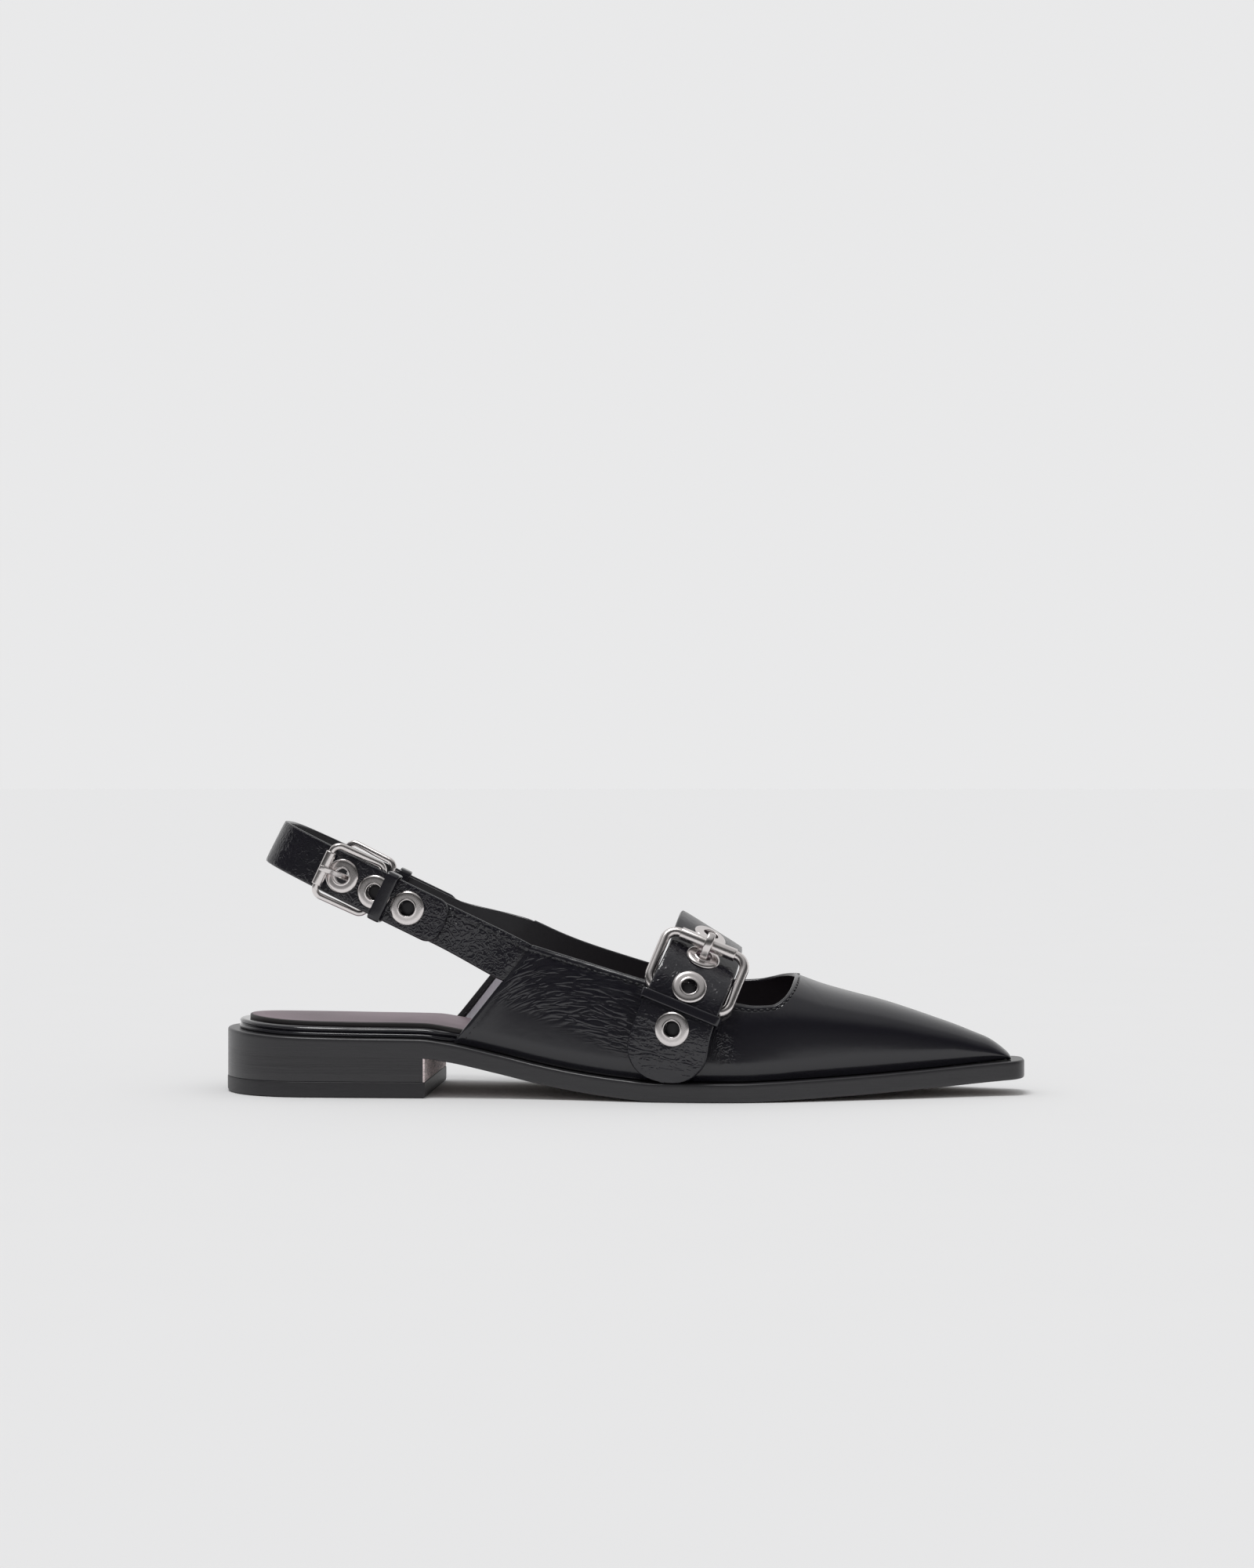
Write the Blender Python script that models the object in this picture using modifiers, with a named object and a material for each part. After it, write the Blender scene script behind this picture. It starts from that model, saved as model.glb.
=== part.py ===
"""Right-foot pointed slingback flat: a leather outsole on a low stacked heel, a wrapped insole and sock, a
hollow upper cut on the last, a heel strap buckled on both sides and an instep strap with a roller buckle.
X runs from heel to toe, Y from the lateral to the medial side, Z up from the floor."""
import math
from collections import namedtuple

import bmesh
import bpy
import numpy as np
from mathutils import Matrix, Vector

for item in list(bpy.data.objects):
    bpy.data.objects.remove(item, do_unlink=True)

# Driving dimensions, in metres
SHOE_LENGTH = 0.270
HALF = SHOE_LENGTH / 2
MM = SHOE_LENGTH / 270.0
GAP = 0.3 * MM
CENTRE_SHIFT = 1.7 * MM
LATERAL, MEDIAL = -1, 1

# Sole unit
SOLE_THICKNESS = 6.2 * MM
HEEL_BREAST_X = -64.2 * MM
TOP_PIECE_HEIGHT = 5.3 * MM
HEEL_FLARE = 0.5 * MM
HEEL_ROUND = 30.0 * MM
TOE_ROUND = 6.0 * MM
INSOLE_THICKNESS = 3.0 * MM
INSOLE_INSET = 3.8 * MM
INSOLE_STEP = 3.0 * MM
INSOLE_TOE_X = 112.0 * MM
SOCK_THICKNESS = 1.4 * MM
SOCK_INSET = 7.4 * MM
SOCK_TOE_X = 104.0 * MM

# Upper
UPPER_LIFT = 0.5 * MM
WELT = 3.2 * MM
UNDERCUT = 1.4 * MM
UNDERCUT_HEIGHT = 6.5 * MM
WALL = 1.6 * MM
UPPER_TOE_X = 130.5 * MM
TOE_RISE = 9.0 * MM
TOE_BLUNT = 5.0 * MM

# The sole along its length: half widths to each side and the height of the underside, in millimetres
Sole = namedtuple("Sole", "x lateral medial under")
SOLE = [
    Sole(-135, 29.5, 29.5, 15.4), Sole(-110, 29.5, 29.5, 13.9), Sole(-90, 29.8, 29.6, 13.5),
    Sole(-66, 29.6, 28.8, 13.2), Sole(-57, 29.5, 28.0, 12.0), Sole(-40, 29.8, 26.4, 8.3),
    Sole(-27, 31.2, 26.0, 5.3), Sole(-14, 33.2, 27.0, 2.9), Sole(1, 36.0, 29.6, 1.0),
    Sole(14, 38.0, 33.0, 0.0), Sole(27, 38.5, 36.3, 0.0), Sole(40, 38.0, 38.3, 0.0),
    Sole(50, 36.2, 38.0, 0.3), Sole(60, 33.6, 36.0, 0.75), Sole(80, 27.3, 29.7, 1.75),
    Sole(101, 19.8, 22.6, 3.1), Sole(118, 13.6, 16.4, 4.4), Sole(128, 10.2, 12.8, 5.1),
    Sole(135, 8.8, 11.2, 5.6),
]

# The last above the sole: ridge height in millimetres, and how square its sections are across and upward
Last = namedtuple("Last", "x ridge across up")
LAST = [
    Last(-80, 98.0, 2.4, 2.1), Last(-60, 92.0, 2.4, 2.1), Last(-30, 84.0, 2.4, 2.1),
    Last(0, 69.0, 2.4, 2.1), Last(20, 57.0, 2.4, 2.1), Last(39, 47.5, 2.5, 2.2),
    Last(50, 43.2, 2.45, 2.8), Last(58.6, 39.7, 2.35, 3.6), Last(68, 36.3, 2.3, 4.2),
    Last(77.5, 33.7, 2.25, 4.4), Last(87, 31.3, 2.2, 4.4), Last(96.4, 28.4, 2.2, 4.2),
    Last(105.8, 25.2, 2.2, 4.0), Last(112.1, 23.0, 2.2, 3.8), Last(118.4, 20.5, 2.2, 3.4),
    Last(124.7, 18.0, 2.2, 3.0), Last(130.5, 15.6, 2.2, 2.8),
]

# Upper edge of the quarters from the strap seam forward to the throat, seen from the side
Edge = namedtuple("Edge", "x z")
TOP_LINE = {
    LATERAL: [
        Edge(-28.9, 50.3), Edge(-17.3, 47.0), Edge(-4.4, 43.2), Edge(11, 38.8), Edge(27, 34.6),
        Edge(40.4, 31.7), Edge(45.3, 31.1), Edge(50.6, 31.3), Edge(54.5, 33.4), Edge(57.2, 36.7),
        Edge(58.6, 39.7),
    ],
    MEDIAL: [
        Edge(-32.0, 56.5), Edge(-17.8, 50.4), Edge(-0.2, 44.4), Edge(11, 41.0), Edge(27, 37.2),
        Edge(38, 36.2), Edge(45.3, 36.6), Edge(50.6, 37.8), Edge(54.5, 39.0), Edge(57.2, 39.6),
        Edge(58.6, 39.7),
    ],
}
SEAM_FOOT_X = {LATERAL: -54.5 * MM, MEDIAL: -61.9 * MM}

# Stations of the upper: where each one leaves the sole and where it meets the top line or the vamp ridge
Station = namedtuple("Station", "foot top")
STATIONS = [
    Station(-34, -17.3), Station(-14, -4.4), Station(4, 11), Station(22, 27), Station(36, 40.4),
    Station(46, 45.3), Station(55, 50.6), Station(63, 54.5), Station(70, 57.2), Station(77, 58.6),
    Station(86, 65), Station(96, 73), Station(105, 82), Station(113, 91), Station(120, 99),
    Station(125, 105), Station(128.5, 109), Station(130.5, 112),
]
STRAIGHT_STATIONS = 6
FAN_RIDGE = (113.5, 115, 116.5, 118, 119)
ROWS_BELOW_TAB = 8
ROWS_ON_TAB = 4
TAB_CORNER = 0.64
TAB_STEPS = 7
TAB_EASE = 1.9
TAB_HALF_WIDTH = 6.7 * MM

# Heel strap: it lies on a plane that falls from the back of the heel towards the instep
STRAP_START = np.array((-34.0, 0.0, 45.6)) * MM
STRAP_FALL = math.radians(25.6)
STRAP_BACK_LEAN = math.radians(1.5)
STRAP_MEDIAL_DROP = 2.2 * MM
STRAP_HALF_SPAN = 28.0 * MM
STRAP_REACH = 92.4 * MM
STRAP_SQUARENESS = 3.5
STRAP_WIDTH = 14.3 * MM
STRAP_THICKNESS = 1.8 * MM
STRAP_TIP_ROUND = 4.5 * MM
STRAP_TIP_AT = 27.0 * MM
SLING_EYELETS = (40.0 * MM, 52.2 * MM, 64.4 * MM)
SLING_PIVOT_AT = 52.9 * MM
SLING_ROLLER_AT = 70.0 * MM
SLING_KEEPER_AT = 48.6 * MM
SLING_KEEPER_ROOM = 1.45 * MM
SLING_KEEPER_WIDTH = 4.2 * MM
SLING_SHIFT = {LATERAL: 0.0, MEDIAL: 4.0 * MM}
SLING_WIRE = 1.1 * MM
SLING_ROLLER = 1.75 * MM

# Instep strap: points of its middle from the free tip over the foot to the far side, in millimetres, with
# the lean and splay of its width in degrees and its half width
Path = namedtuple("Path", "x y z lean splay half")
INSTEP = [
    Path(14.8, -37.2, 7.0, 9, -4, 13.2), Path(15.9, -38.3, 14.0, 11, -5, 13.1),
    Path(18.4, -38.5, 24.6, 18, -7, 12.4), Path(23.6, -35.1, 37.2, 24, -7, 11.8),
    Path(27.9, -22.4, 47.0, 26, -7, 11.6), Path(29.4, -7.4, 53.2, 31, -4, 11.6),
    Path(29.6, 2.0, 54.2, 32, 0, 11.6), Path(29.2, 11.5, 52.2, 31, 2, 11.6),
    Path(27.0, 22.4, 45.6, 28, 8, 11.6), Path(23.0, 30.2, 35.5, 24, 13, 11.6),
    Path(19.0, 32.2, 25.0, 18, 14, 11.6), Path(17.2, 33.0, 14.0, 14, 15, 11.6),
    Path(16.6, 32.2, 8.6, 14, 15, 11.6),
]
INSTEP_EASING = 6
INSTEP_THICKNESS = 2.0 * MM
INSTEP_TIP_ROUND = 12.0 * MM
INSTEP_EYELETS = 4
INSTEP_FIRST_EYELET = 17.6 * MM
INSTEP_EYELET_PITCH = 14.6 * MM
INSTEP_KEEPER_AFTER = 7.5 * MM
INSTEP_KEEPER_WIDTH = 3.2 * MM
INSTEP_PIVOT_AFTER = 11.4 * MM
INSTEP_ROLLER_AFTER = 32.2 * MM
INSTEP_WIRE = 1.6 * MM
INSTEP_ROLLER = 2.15 * MM
BUCKLE_TAB_START = 5.0 * MM
BUCKLE_TAB_THICKNESS = 1.4 * MM
BUCKLE_TAB_HALF = 10.6 * MM

# Buckles, eyelets and keepers
FRAME_ROOM = 0.8 * MM
FRAME_CORNER = 2.6
ROLLER_LIFT = 1.4 * MM
ROLLER_END_ROOM = 0.2 * MM
PRONG_SHARE = 0.75
PRONG_WRAP = (165.0, 80.0)
EYELET_HOLE = 2.75 * MM
EYELET_BARREL = 3.2 * MM
EYELET_FLANGE = 5.8 * MM
EYELET_SIDES = 16
KEEPER_THICKNESS = 1.1 * MM
KEEPER_ROOM = 0.4 * MM

COLOURS = {
    "edge_leather": (0.012, 0.012, 0.013),
    "heel_leather": (0.014, 0.014, 0.015),
    "top_piece": (0.01, 0.01, 0.01),
    "wrap_patent": (0.008, 0.008, 0.009),
    "sock_leather": (0.09, 0.065, 0.065),
    "upper_patent": (0.006, 0.006, 0.007),
    "strap_patent": (0.007, 0.007, 0.008),
    "nickel": (0.78, 0.75, 0.72),
}
ROUGHNESS = 0.25

shoe = bpy.data.collections.new("slingback_shoe")
bpy.context.scene.collection.children.link(shoe)
cutters = bpy.data.collections.new("cutters")
bpy.context.scene.collection.children.link(cutters)

# The last's own middle line lies a little to the lateral side of the middle of the shoe's width
centre = bpy.data.objects.new("shoe_centre", None)
centre.location.y = CENTRE_SHIFT
shoe.objects.link(centre)


def material(slot):
    if slot in bpy.data.materials:
        return bpy.data.materials[slot]
    made = bpy.data.materials.new(slot)
    made.use_nodes = True
    shader = made.node_tree.nodes["Principled BSDF"]
    shader.inputs["Base Color"].default_value = (*COLOURS[slot], 1.0)
    shader.inputs["Metallic"].default_value = 1.0 if slot == "nickel" else 0.0
    shader.inputs["Roughness"].default_value = ROUGHNESS
    return made


def add_part(name, mesh, slot):
    """Puts a finished mesh in the shoe with outward faces."""
    tidy = bmesh.new()
    tidy.from_mesh(mesh)
    bmesh.ops.remove_doubles(tidy, verts=tidy.verts, dist=1e-6)
    bmesh.ops.recalc_face_normals(tidy, faces=tidy.faces)
    tidy.to_mesh(mesh)
    tidy.free()
    mesh.materials.append(material(slot))
    part = bpy.data.objects.new(name, mesh)
    part.parent = centre
    shoe.objects.link(part)
    return part


def baked(drawn):
    """The evaluated mesh of an object that stands for one step of a part, which is then removed."""
    bpy.context.view_layer.update()
    graph = bpy.context.evaluated_depsgraph_get()
    mesh = bpy.data.meshes.new_from_object(drawn.evaluated_get(graph))
    bpy.data.objects.remove(drawn, do_unlink=True)
    return mesh


def loft(name, rings, closed_path=False):
    """Skins equal rings of points in order and closes both ends."""
    count, per = len(rings), len(rings[0])
    points = [tuple(p) for ring in rings for p in ring]
    faces = []
    for k in range(count if closed_path else count - 1):
        a, b = k * per, ((k + 1) % count) * per
        for i in range(per):
            j = (i + 1) % per
            faces.append((a + i, a + j, b + j, b + i))
    if not closed_path:
        faces.append(tuple(range(per)))
        faces.append(tuple(range((count - 1) * per, count * per)))
    mesh = bpy.data.meshes.new(name)
    mesh.from_pydata(points, [], faces)
    return mesh


def through(rows, column, key="x"):
    """A smooth curve through one column of a table that never swings past its rows."""
    at = np.array([getattr(r, key) for r in rows], float) * MM
    value = np.array([getattr(r, column) for r in rows], float)
    step = np.diff(at)
    rate = np.diff(value) / step
    slope = np.concatenate(([rate[0]], np.zeros(len(at) - 2), [rate[-1]]))
    for k in range(1, len(at) - 1):
        if rate[k - 1] * rate[k] > 0:
            before, after = 2 * step[k] + step[k - 1], step[k] + 2 * step[k - 1]
            slope[k] = (before + after) / (before / rate[k - 1] + after / rate[k])

    def curve(x):
        x = np.clip(np.asarray(x, float), at[0], at[-1])
        k = np.clip(np.searchsorted(at, x, side="right") - 1, 0, len(at) - 2)
        t = (x - at[k]) / step[k]
        return (
            value[k] * (2 * t**3 - 3 * t**2 + 1) + value[k + 1] * (3 * t**2 - 2 * t**3)
            + step[k] * (slope[k] * (t**3 - 2 * t**2 + t) + slope[k + 1] * (t**3 - t**2))
        )

    return curve


def smooth(share):
    share = np.clip(share, 0, 1)
    return share * share * (3 - 2 * share)


def rounding(distance, radius, least=0.0):
    """Quarter of an ellipse that closes an outline towards its end."""
    share = np.clip(distance / radius, 0.0, 1.0)
    return np.maximum(np.sqrt(1.0 - (1.0 - share) ** 2), least)


side_width = {LATERAL: through(SOLE, "lateral"), MEDIAL: through(SOLE, "medial")}
under_line = through(SOLE, "under")
ridge_line = through(LAST, "ridge")
across_power = through(LAST, "across")
up_power = through(LAST, "up")
top_line = {side: through(TOP_LINE[side], "z") for side in TOP_LINE}


def sole_under(x):
    return under_line(x) * MM


def sole_top(x):
    return sole_under(x) + SOLE_THICKNESS


def insole_under(x):
    return sole_top(x) + GAP


def insole_top(x):
    return insole_under(x) + INSOLE_THICKNESS


def sock_under(x):
    return insole_top(x) + GAP


def sock_top(x):
    return sock_under(x) + SOCK_THICKNESS


def insole_inset(x, side):
    """The wrapped rim shows behind the quarters and steps in where the upper passes outside it."""
    return INSOLE_INSET + INSOLE_STEP * smooth((x - SEAM_FOOT_X[side] + 6 * MM) / (5 * MM))


def even_inset(inset):
    return lambda x, side: inset


def level(height):
    return lambda x: height


def outline(x, side, inset, back, front):
    """Half width of the sole less an inset, closed round at the back and front ends."""
    width = side_width[side](np.clip(x, -HALF, HALF)) * MM - inset
    return width * rounding(x - back, HEEL_ROUND, 0.2) * rounding(front - x, TOE_ROUND, 0.35)


def slab(name, slot, inset, back, front, low, high, square_front=False, steps=22, across=4):
    """A layer of the sole: its outline carried between a lower and an upper height along the shoe."""
    turn = np.linspace(0, math.pi / 2, 9)
    start = back + HEEL_ROUND * (1 - np.cos(turn))
    if square_front:
        along = np.concatenate((start, np.linspace(start[-1], front, 6)[1:]))
    else:
        end = front - TOE_ROUND * (1 - np.cos(np.linspace(math.pi / 2, 0, 5)))
        along = np.concatenate((start, np.linspace(start[-1], end[0], steps)[1:-1], end))
    end_at = front + TOE_ROUND if square_front else front
    rings = []
    for x in along:
        reach = {s: float(outline(x, s, inset(x, s), back, end_at)) for s in (LATERAL, MEDIAL)}
        ys = np.linspace(-reach[LATERAL], reach[MEDIAL], across + 1)
        lower = [(x, y, float(low(x))) for y in ys]
        upper = [(x, y, float(high(x))) for y in ys[::-1]]
        rings.append(lower + upper)
    return add_part(name, loft(name, rings), slot)


def sole_unit():
    """Outsole, stacked heel with its top piece, wrapped insole and sock."""
    slab("outsole", "edge_leather", even_inset(0.0), -HALF, HALF, sole_under, sole_top, steps=36)
    slab("heel_block", "heel_leather", even_inset(0.0), -HALF, HEEL_BREAST_X,
         level(TOP_PIECE_HEIGHT + GAP), lambda x: sole_under(x) - GAP, square_front=True)
    slab("heel_top_piece", "top_piece", even_inset(-HEEL_FLARE), -HALF, HEEL_BREAST_X,
         level(0.0), level(TOP_PIECE_HEIGHT), square_front=True)
    slab("insole", "wrap_patent", insole_inset, -HALF + INSOLE_INSET, INSOLE_TOE_X,
         insole_under, insole_top, steps=28)
    slab("sock", "sock_leather", even_inset(SOCK_INSET), -HALF + SOCK_INSET, SOCK_TOE_X,
         sock_under, sock_top)


def upper_foot(x):
    """Height at which the upper leaves the sole."""
    return sole_top(x) + UPPER_LIFT


def last_height(x):
    """Height of the last's ridge over the sole, closed round at the toe."""
    return (ridge_line(x) * MM - upper_foot(x)) * rounding(UPPER_TOE_X - x, TOE_RISE)


def last_width(x, side):
    blunt = 0.66 + 0.34 * rounding(UPPER_TOE_X - x, TOE_BLUNT)
    return (side_width[side](x) * MM - WELT) * blunt


def on_last(x, turn, side):
    """Point of the last: turn runs from 0 at the sole to a quarter circle at the ridge, each section a
    superellipse drawn in near the sole."""
    height = last_height(x)
    rise = height * np.sin(turn) ** (2 / up_power(x))
    reach = last_width(x, side) * np.cos(turn) ** (2 / across_power(x))
    tuck_height = np.maximum(np.minimum(UNDERCUT_HEIGHT, 0.5 * height), 1e-6)
    tuck = np.clip(1 - rise / tuck_height, 0, 1) ** 2
    return np.stack((x, side * np.maximum(reach - UNDERCUT * tuck, 0), upper_foot(x) + rise), axis=-1)


def turn_at(x, z):
    """Turn of the last's section at a height above the floor."""
    share = np.clip((z - upper_foot(x)) / np.maximum(last_height(x), 1e-6), 0, 1)
    return np.arcsin(share ** (up_power(x) / 2))


along_strap = np.array((-math.cos(STRAP_FALL), 0.0, math.sin(STRAP_FALL)))
strap_up = np.array((math.sin(STRAP_FALL), 0.0, math.cos(STRAP_FALL)))


def strap_span(run):
    """Half span of the heel strap's loop at a distance along its plane."""
    share = np.clip(run / STRAP_REACH, 0, 1)
    return STRAP_HALF_SPAN * (1 - share**STRAP_SQUARENESS) ** (1 / STRAP_SQUARENESS)


def strap_drop(y):
    """How far the strap hangs under its plane: nothing on the lateral side, its drop on the medial side."""
    return STRAP_MEDIAL_DROP * (0.5 + 0.5 * y / STRAP_HALF_SPAN)


def in_strap_plane(x, z):
    run = (x - STRAP_START[0]) * along_strap[0] + (z - STRAP_START[2]) * along_strap[2]
    rise = (x - STRAP_START[0]) * strap_up[0] + (z - STRAP_START[2]) * strap_up[2]
    return run, rise


def upper_columns(side):
    """Columns of outer points from the strap seam to the toe, each one row per share of its height."""
    below = np.linspace(0, TAB_CORNER, ROWS_BELOW_TAB + 1)[:-1]
    rows = np.concatenate((below, np.linspace(TAB_CORNER, 1, ROWS_ON_TAB + 1)))
    seam = Station(SEAM_FOOT_X[side] / MM, TOP_LINE[side][0].x)
    throat = TOP_LINE[side][-1].x
    columns = []
    for count, station in enumerate([seam] + STATIONS):
        foot, top = station.foot * MM, station.top * MM
        x = foot + (top - foot) * rows
        behind = station.top < throat
        height = float(top_line[side](top) if behind else ridge_line(top)) * MM
        straight = turn_at(x, float(upper_foot(foot)) * (1 - rows) + height * rows)
        even = (float(turn_at(top, height)) if behind else math.pi / 2) * rows
        share = smooth(count / STRAIGHT_STATIONS)
        columns.append(on_last(x, straight * (1 - share) + even * share, side))
    for step, ridge in enumerate(FAN_RIDGE, 1):
        begin = math.pi / 2 * step / len(FAN_RIDGE)
        x = UPPER_TOE_X + (ridge * MM - UPPER_TOE_X) * rows
        columns.append(on_last(x, begin + (math.pi / 2 - begin) * rows, side))
    return columns


def tab_columns(side):
    """Columns of the tab behind the seam, easing from the quarter to just inside the heel strap."""
    top = np.array((TOP_LINE[side][0].x, TOP_LINE[side][0].z)) * MM
    foot = np.array((SEAM_FOOT_X[side], float(upper_foot(SEAM_FOOT_X[side]))))
    run_low, rise_low = in_strap_plane(*(foot + (top - foot) * TAB_CORNER))
    run_high, rise_high = in_strap_plane(*top)
    end = SLING_PIVOT_AT + SLING_SHIFT[side] - SLING_WIRE - GAP
    share = np.linspace(0, 1, ROWS_ON_TAB + 1)
    columns = []
    for part in np.linspace(0, 1, TAB_STEPS + 1)[1:]:
        low_run = run_low + (end - run_low) * part
        high_run = run_high + (end - run_high) * part
        run = low_run * (1 - share) + high_run * share
        ease = float(smooth(part * TAB_EASE))
        low = rise_low * (1 - ease) - TAB_HALF_WIDTH * ease
        straight = min(part * TAB_EASE, 1.0)
        high = rise_high * (1 - straight) + TAB_HALF_WIDTH * straight
        up = low * (1 - share) + high * share
        flat = STRAP_START + run[:, None] * along_strap + up[:, None] * strap_up
        seat = np.abs(on_last(flat[:, 0], turn_at(flat[:, 0], flat[:, 2]), side)[:, 1])
        loop = strap_span(run) - STRAP_THICKNESS / 2 - GAP
        flat[:, 1] = side * (seat * (1 - ease) + loop * ease)
        flat[:, 2] -= strap_drop(side * loop) * ease
        columns.append(flat)
    return columns


def skin_upper():
    """One outer surface from both sides, joined along the vamp ridge and round the toe."""
    points, faces = [], []
    rows = ROWS_BELOW_TAB + ROWS_ON_TAB + 1

    def quad(side, a, b, c, d):
        faces.append((a, b, c, d) if side == LATERAL else (d, c, b, a))

    for side in (LATERAL, MEDIAL):
        columns = upper_columns(side)
        base = len(points)
        points.extend(tuple(p) for column in columns for p in column)
        for k in range(len(columns) - 1):
            for j in range(rows - 1):
                a, b = base + k * rows + j, base + (k + 1) * rows + j
                quad(side, a, b, b + 1, a + 1)
        last = [base + ROWS_BELOW_TAB + j for j in range(ROWS_ON_TAB + 1)]
        for tab in tab_columns(side):
            now = [len(points) + j for j in range(ROWS_ON_TAB + 1)]
            points.extend(tuple(p) for p in tab)
            for j in range(ROWS_ON_TAB):
                quad(side, now[j], last[j], last[j + 1], now[j + 1])
            last = now
    mesh = bpy.data.meshes.new("upper")
    mesh.from_pydata(points, [], faces)
    weld = bmesh.new()
    weld.from_mesh(mesh)
    bmesh.ops.remove_doubles(weld, verts=weld.verts, dist=2e-6)
    bmesh.ops.dissolve_degenerate(weld, edges=weld.edges, dist=1e-6)
    weld.to_mesh(mesh)
    weld.free()
    return mesh


def upper():
    """Gives the outer surface its wall, with the lower edge flat on the sole."""
    skin = bpy.data.objects.new("upper_skin", skin_upper())
    shoe.objects.link(skin)
    wall = skin.modifiers.new("wall", "SOLIDIFY")
    wall.thickness = WALL
    wall.offset = -1.0
    wall.use_even_offset = True
    mesh = baked(skin)
    for vertex in mesh.vertices:
        vertex.co.z = max(vertex.co.z, float(upper_foot(vertex.co.x)))
    add_part("upper", mesh, "upper_patent")


class Rail:
    """A strap's middle line: even distances along it, its outward side and its width direction."""

    def __init__(self, points, across):
        self.points = points
        self.across = across / np.linalg.norm(across, axis=1)[:, None]
        run = np.linalg.norm(np.diff(points, axis=0), axis=1)
        self.at = np.concatenate(([0.0], np.cumsum(run)))
        self.length = self.at[-1]

    def pick(self, values, s):
        return np.array([np.interp(s, self.at, values[:, k]) for k in range(3)])

    def axes(self, s):
        """Place, direction along, direction outward and direction across at a distance along."""
        step = 0.4 * MM
        before = self.pick(self.points, max(s - step, 0))
        after = self.pick(self.points, min(s + step, self.length))
        along = (after - before) / np.linalg.norm(after - before)
        wide = self.pick(self.across, s)
        wide = wide - along * np.dot(wide, along)
        wide = wide / np.linalg.norm(wide)
        out = np.cross(wide, along)
        return self.pick(self.points, s), along, out / np.linalg.norm(out), wide

    def point(self, s, depth):
        place, along, out, wide = self.axes(s)
        return place + out * depth

    def frame(self, s):
        """Matrix with X along the strap, Y across it and Z out of it."""
        place, along, out, wide = self.axes(s)
        frame = Matrix((tuple(along), tuple(wide), tuple(out))).transposed().to_4x4()
        frame.translation = Vector(place)
        return frame


def band(name, rail, stops, half, thickness):
    """A strap of the given thickness carried along a rail, its half width set at each stop."""
    rings = []
    for s, width in zip(stops, half):
        place, along, out, wide = rail.axes(s)
        corners = ((-1, -1), (-1, 1), (1, 1), (1, -1))
        rings.append([place + wide * width * a + out * thickness / 2 * b for a, b in corners])
    return add_part(name, loft(name, rings), "strap_patent")


def tip_stops(start, length, radius, steps=34):
    """Distances that gather towards a rounded tip."""
    tip = start + radius * (1 - np.cos(np.linspace(0, math.pi / 2, 6)))
    return np.concatenate((tip, np.linspace(start + radius, length, steps)[1:]))


def pierce(part, rail, stops):
    """Cuts a round hole through a strap at each stop."""
    for count, s in enumerate(stops, 1):
        bpy.ops.mesh.primitive_cylinder_add(vertices=EYELET_SIDES, radius=EYELET_BARREL + GAP, depth=8 * MM)
        tool = bpy.context.object
        tool.name = f"{part.name}_hole_{count}"
        tool.parent = centre
        tool.matrix_basis = rail.frame(s)
        for owner in list(tool.users_collection):
            owner.objects.unlink(tool)
        cutters.objects.link(tool)
        tool.hide_render = True
        tool.display_type = "WIRE"
        cut = part.modifiers.new(f"hole_{count}", "BOOLEAN")
        cut.operation = "DIFFERENCE"
        cut.solver = "EXACT"
        cut.object = tool


def eyelet(name, rail, s, thickness):
    """A turned ring: a barrel through the strap with a domed flange on its outer face."""
    face = thickness / 2
    profile = (
        (EYELET_HOLE, -face), (EYELET_BARREL, -face), (EYELET_BARREL, face + GAP),
        (EYELET_FLANGE, face + GAP), (EYELET_FLANGE - 0.1 * MM, face + 0.7 * MM),
        (4.5 * MM, face + 1.2 * MM), (3.3 * MM, face + 1.3 * MM), (EYELET_HOLE, face + 1.0 * MM),
    )
    mesh = bpy.data.meshes.new(name)
    edges = [(k, (k + 1) % len(profile)) for k in range(len(profile))]
    mesh.from_pydata([(radius, 0.0, height) for radius, height in profile], edges, [])
    turned = bpy.data.objects.new(name, mesh)
    shoe.objects.link(turned)
    screw = turned.modifiers.new("turn", "SCREW")
    screw.angle = 2 * math.pi
    screw.steps = EYELET_SIDES
    screw.render_steps = EYELET_SIDES
    screw.use_merge_vertices = True
    screw.merge_threshold = 0.00001
    screw.use_normal_calculate = True
    ring = baked(turned)
    ring.transform(rail.frame(s))
    add_part(name, ring, "nickel")


def wire(name, points, radius, cyclic=False):
    """Round wire along points, with closed ends."""
    data = bpy.data.curves.new(name, "CURVE")
    data.dimensions = "3D"
    data.bevel_depth = radius
    data.bevel_resolution = 2
    data.use_fill_caps = True
    spline = data.splines.new("POLY")
    spline.points.add(len(points) - 1)
    for knot, p in zip(spline.points, points):
        knot.co = (*p, 1.0)
    spline.use_cyclic_u = cyclic
    drawn = bpy.data.objects.new(name, data)
    shoe.objects.link(drawn)
    add_part(name, baked(drawn), "nickel")


def rounded_box(half_long, half_wide, radius, steps=4):
    """Points of a rounded rectangle about its middle."""
    points = []
    for a, b, start in ((1, 1, 0), (-1, 1, 90), (-1, -1, 180), (1, -1, 270)):
        for k in range(steps + 1):
            turn = math.radians(start + 90 * k / steps)
            long_place = a * (half_long - radius) + radius * math.cos(turn)
            wide_place = b * (half_wide - radius) + radius * math.sin(turn)
            points.append((long_place, wide_place))
    return points


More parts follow.
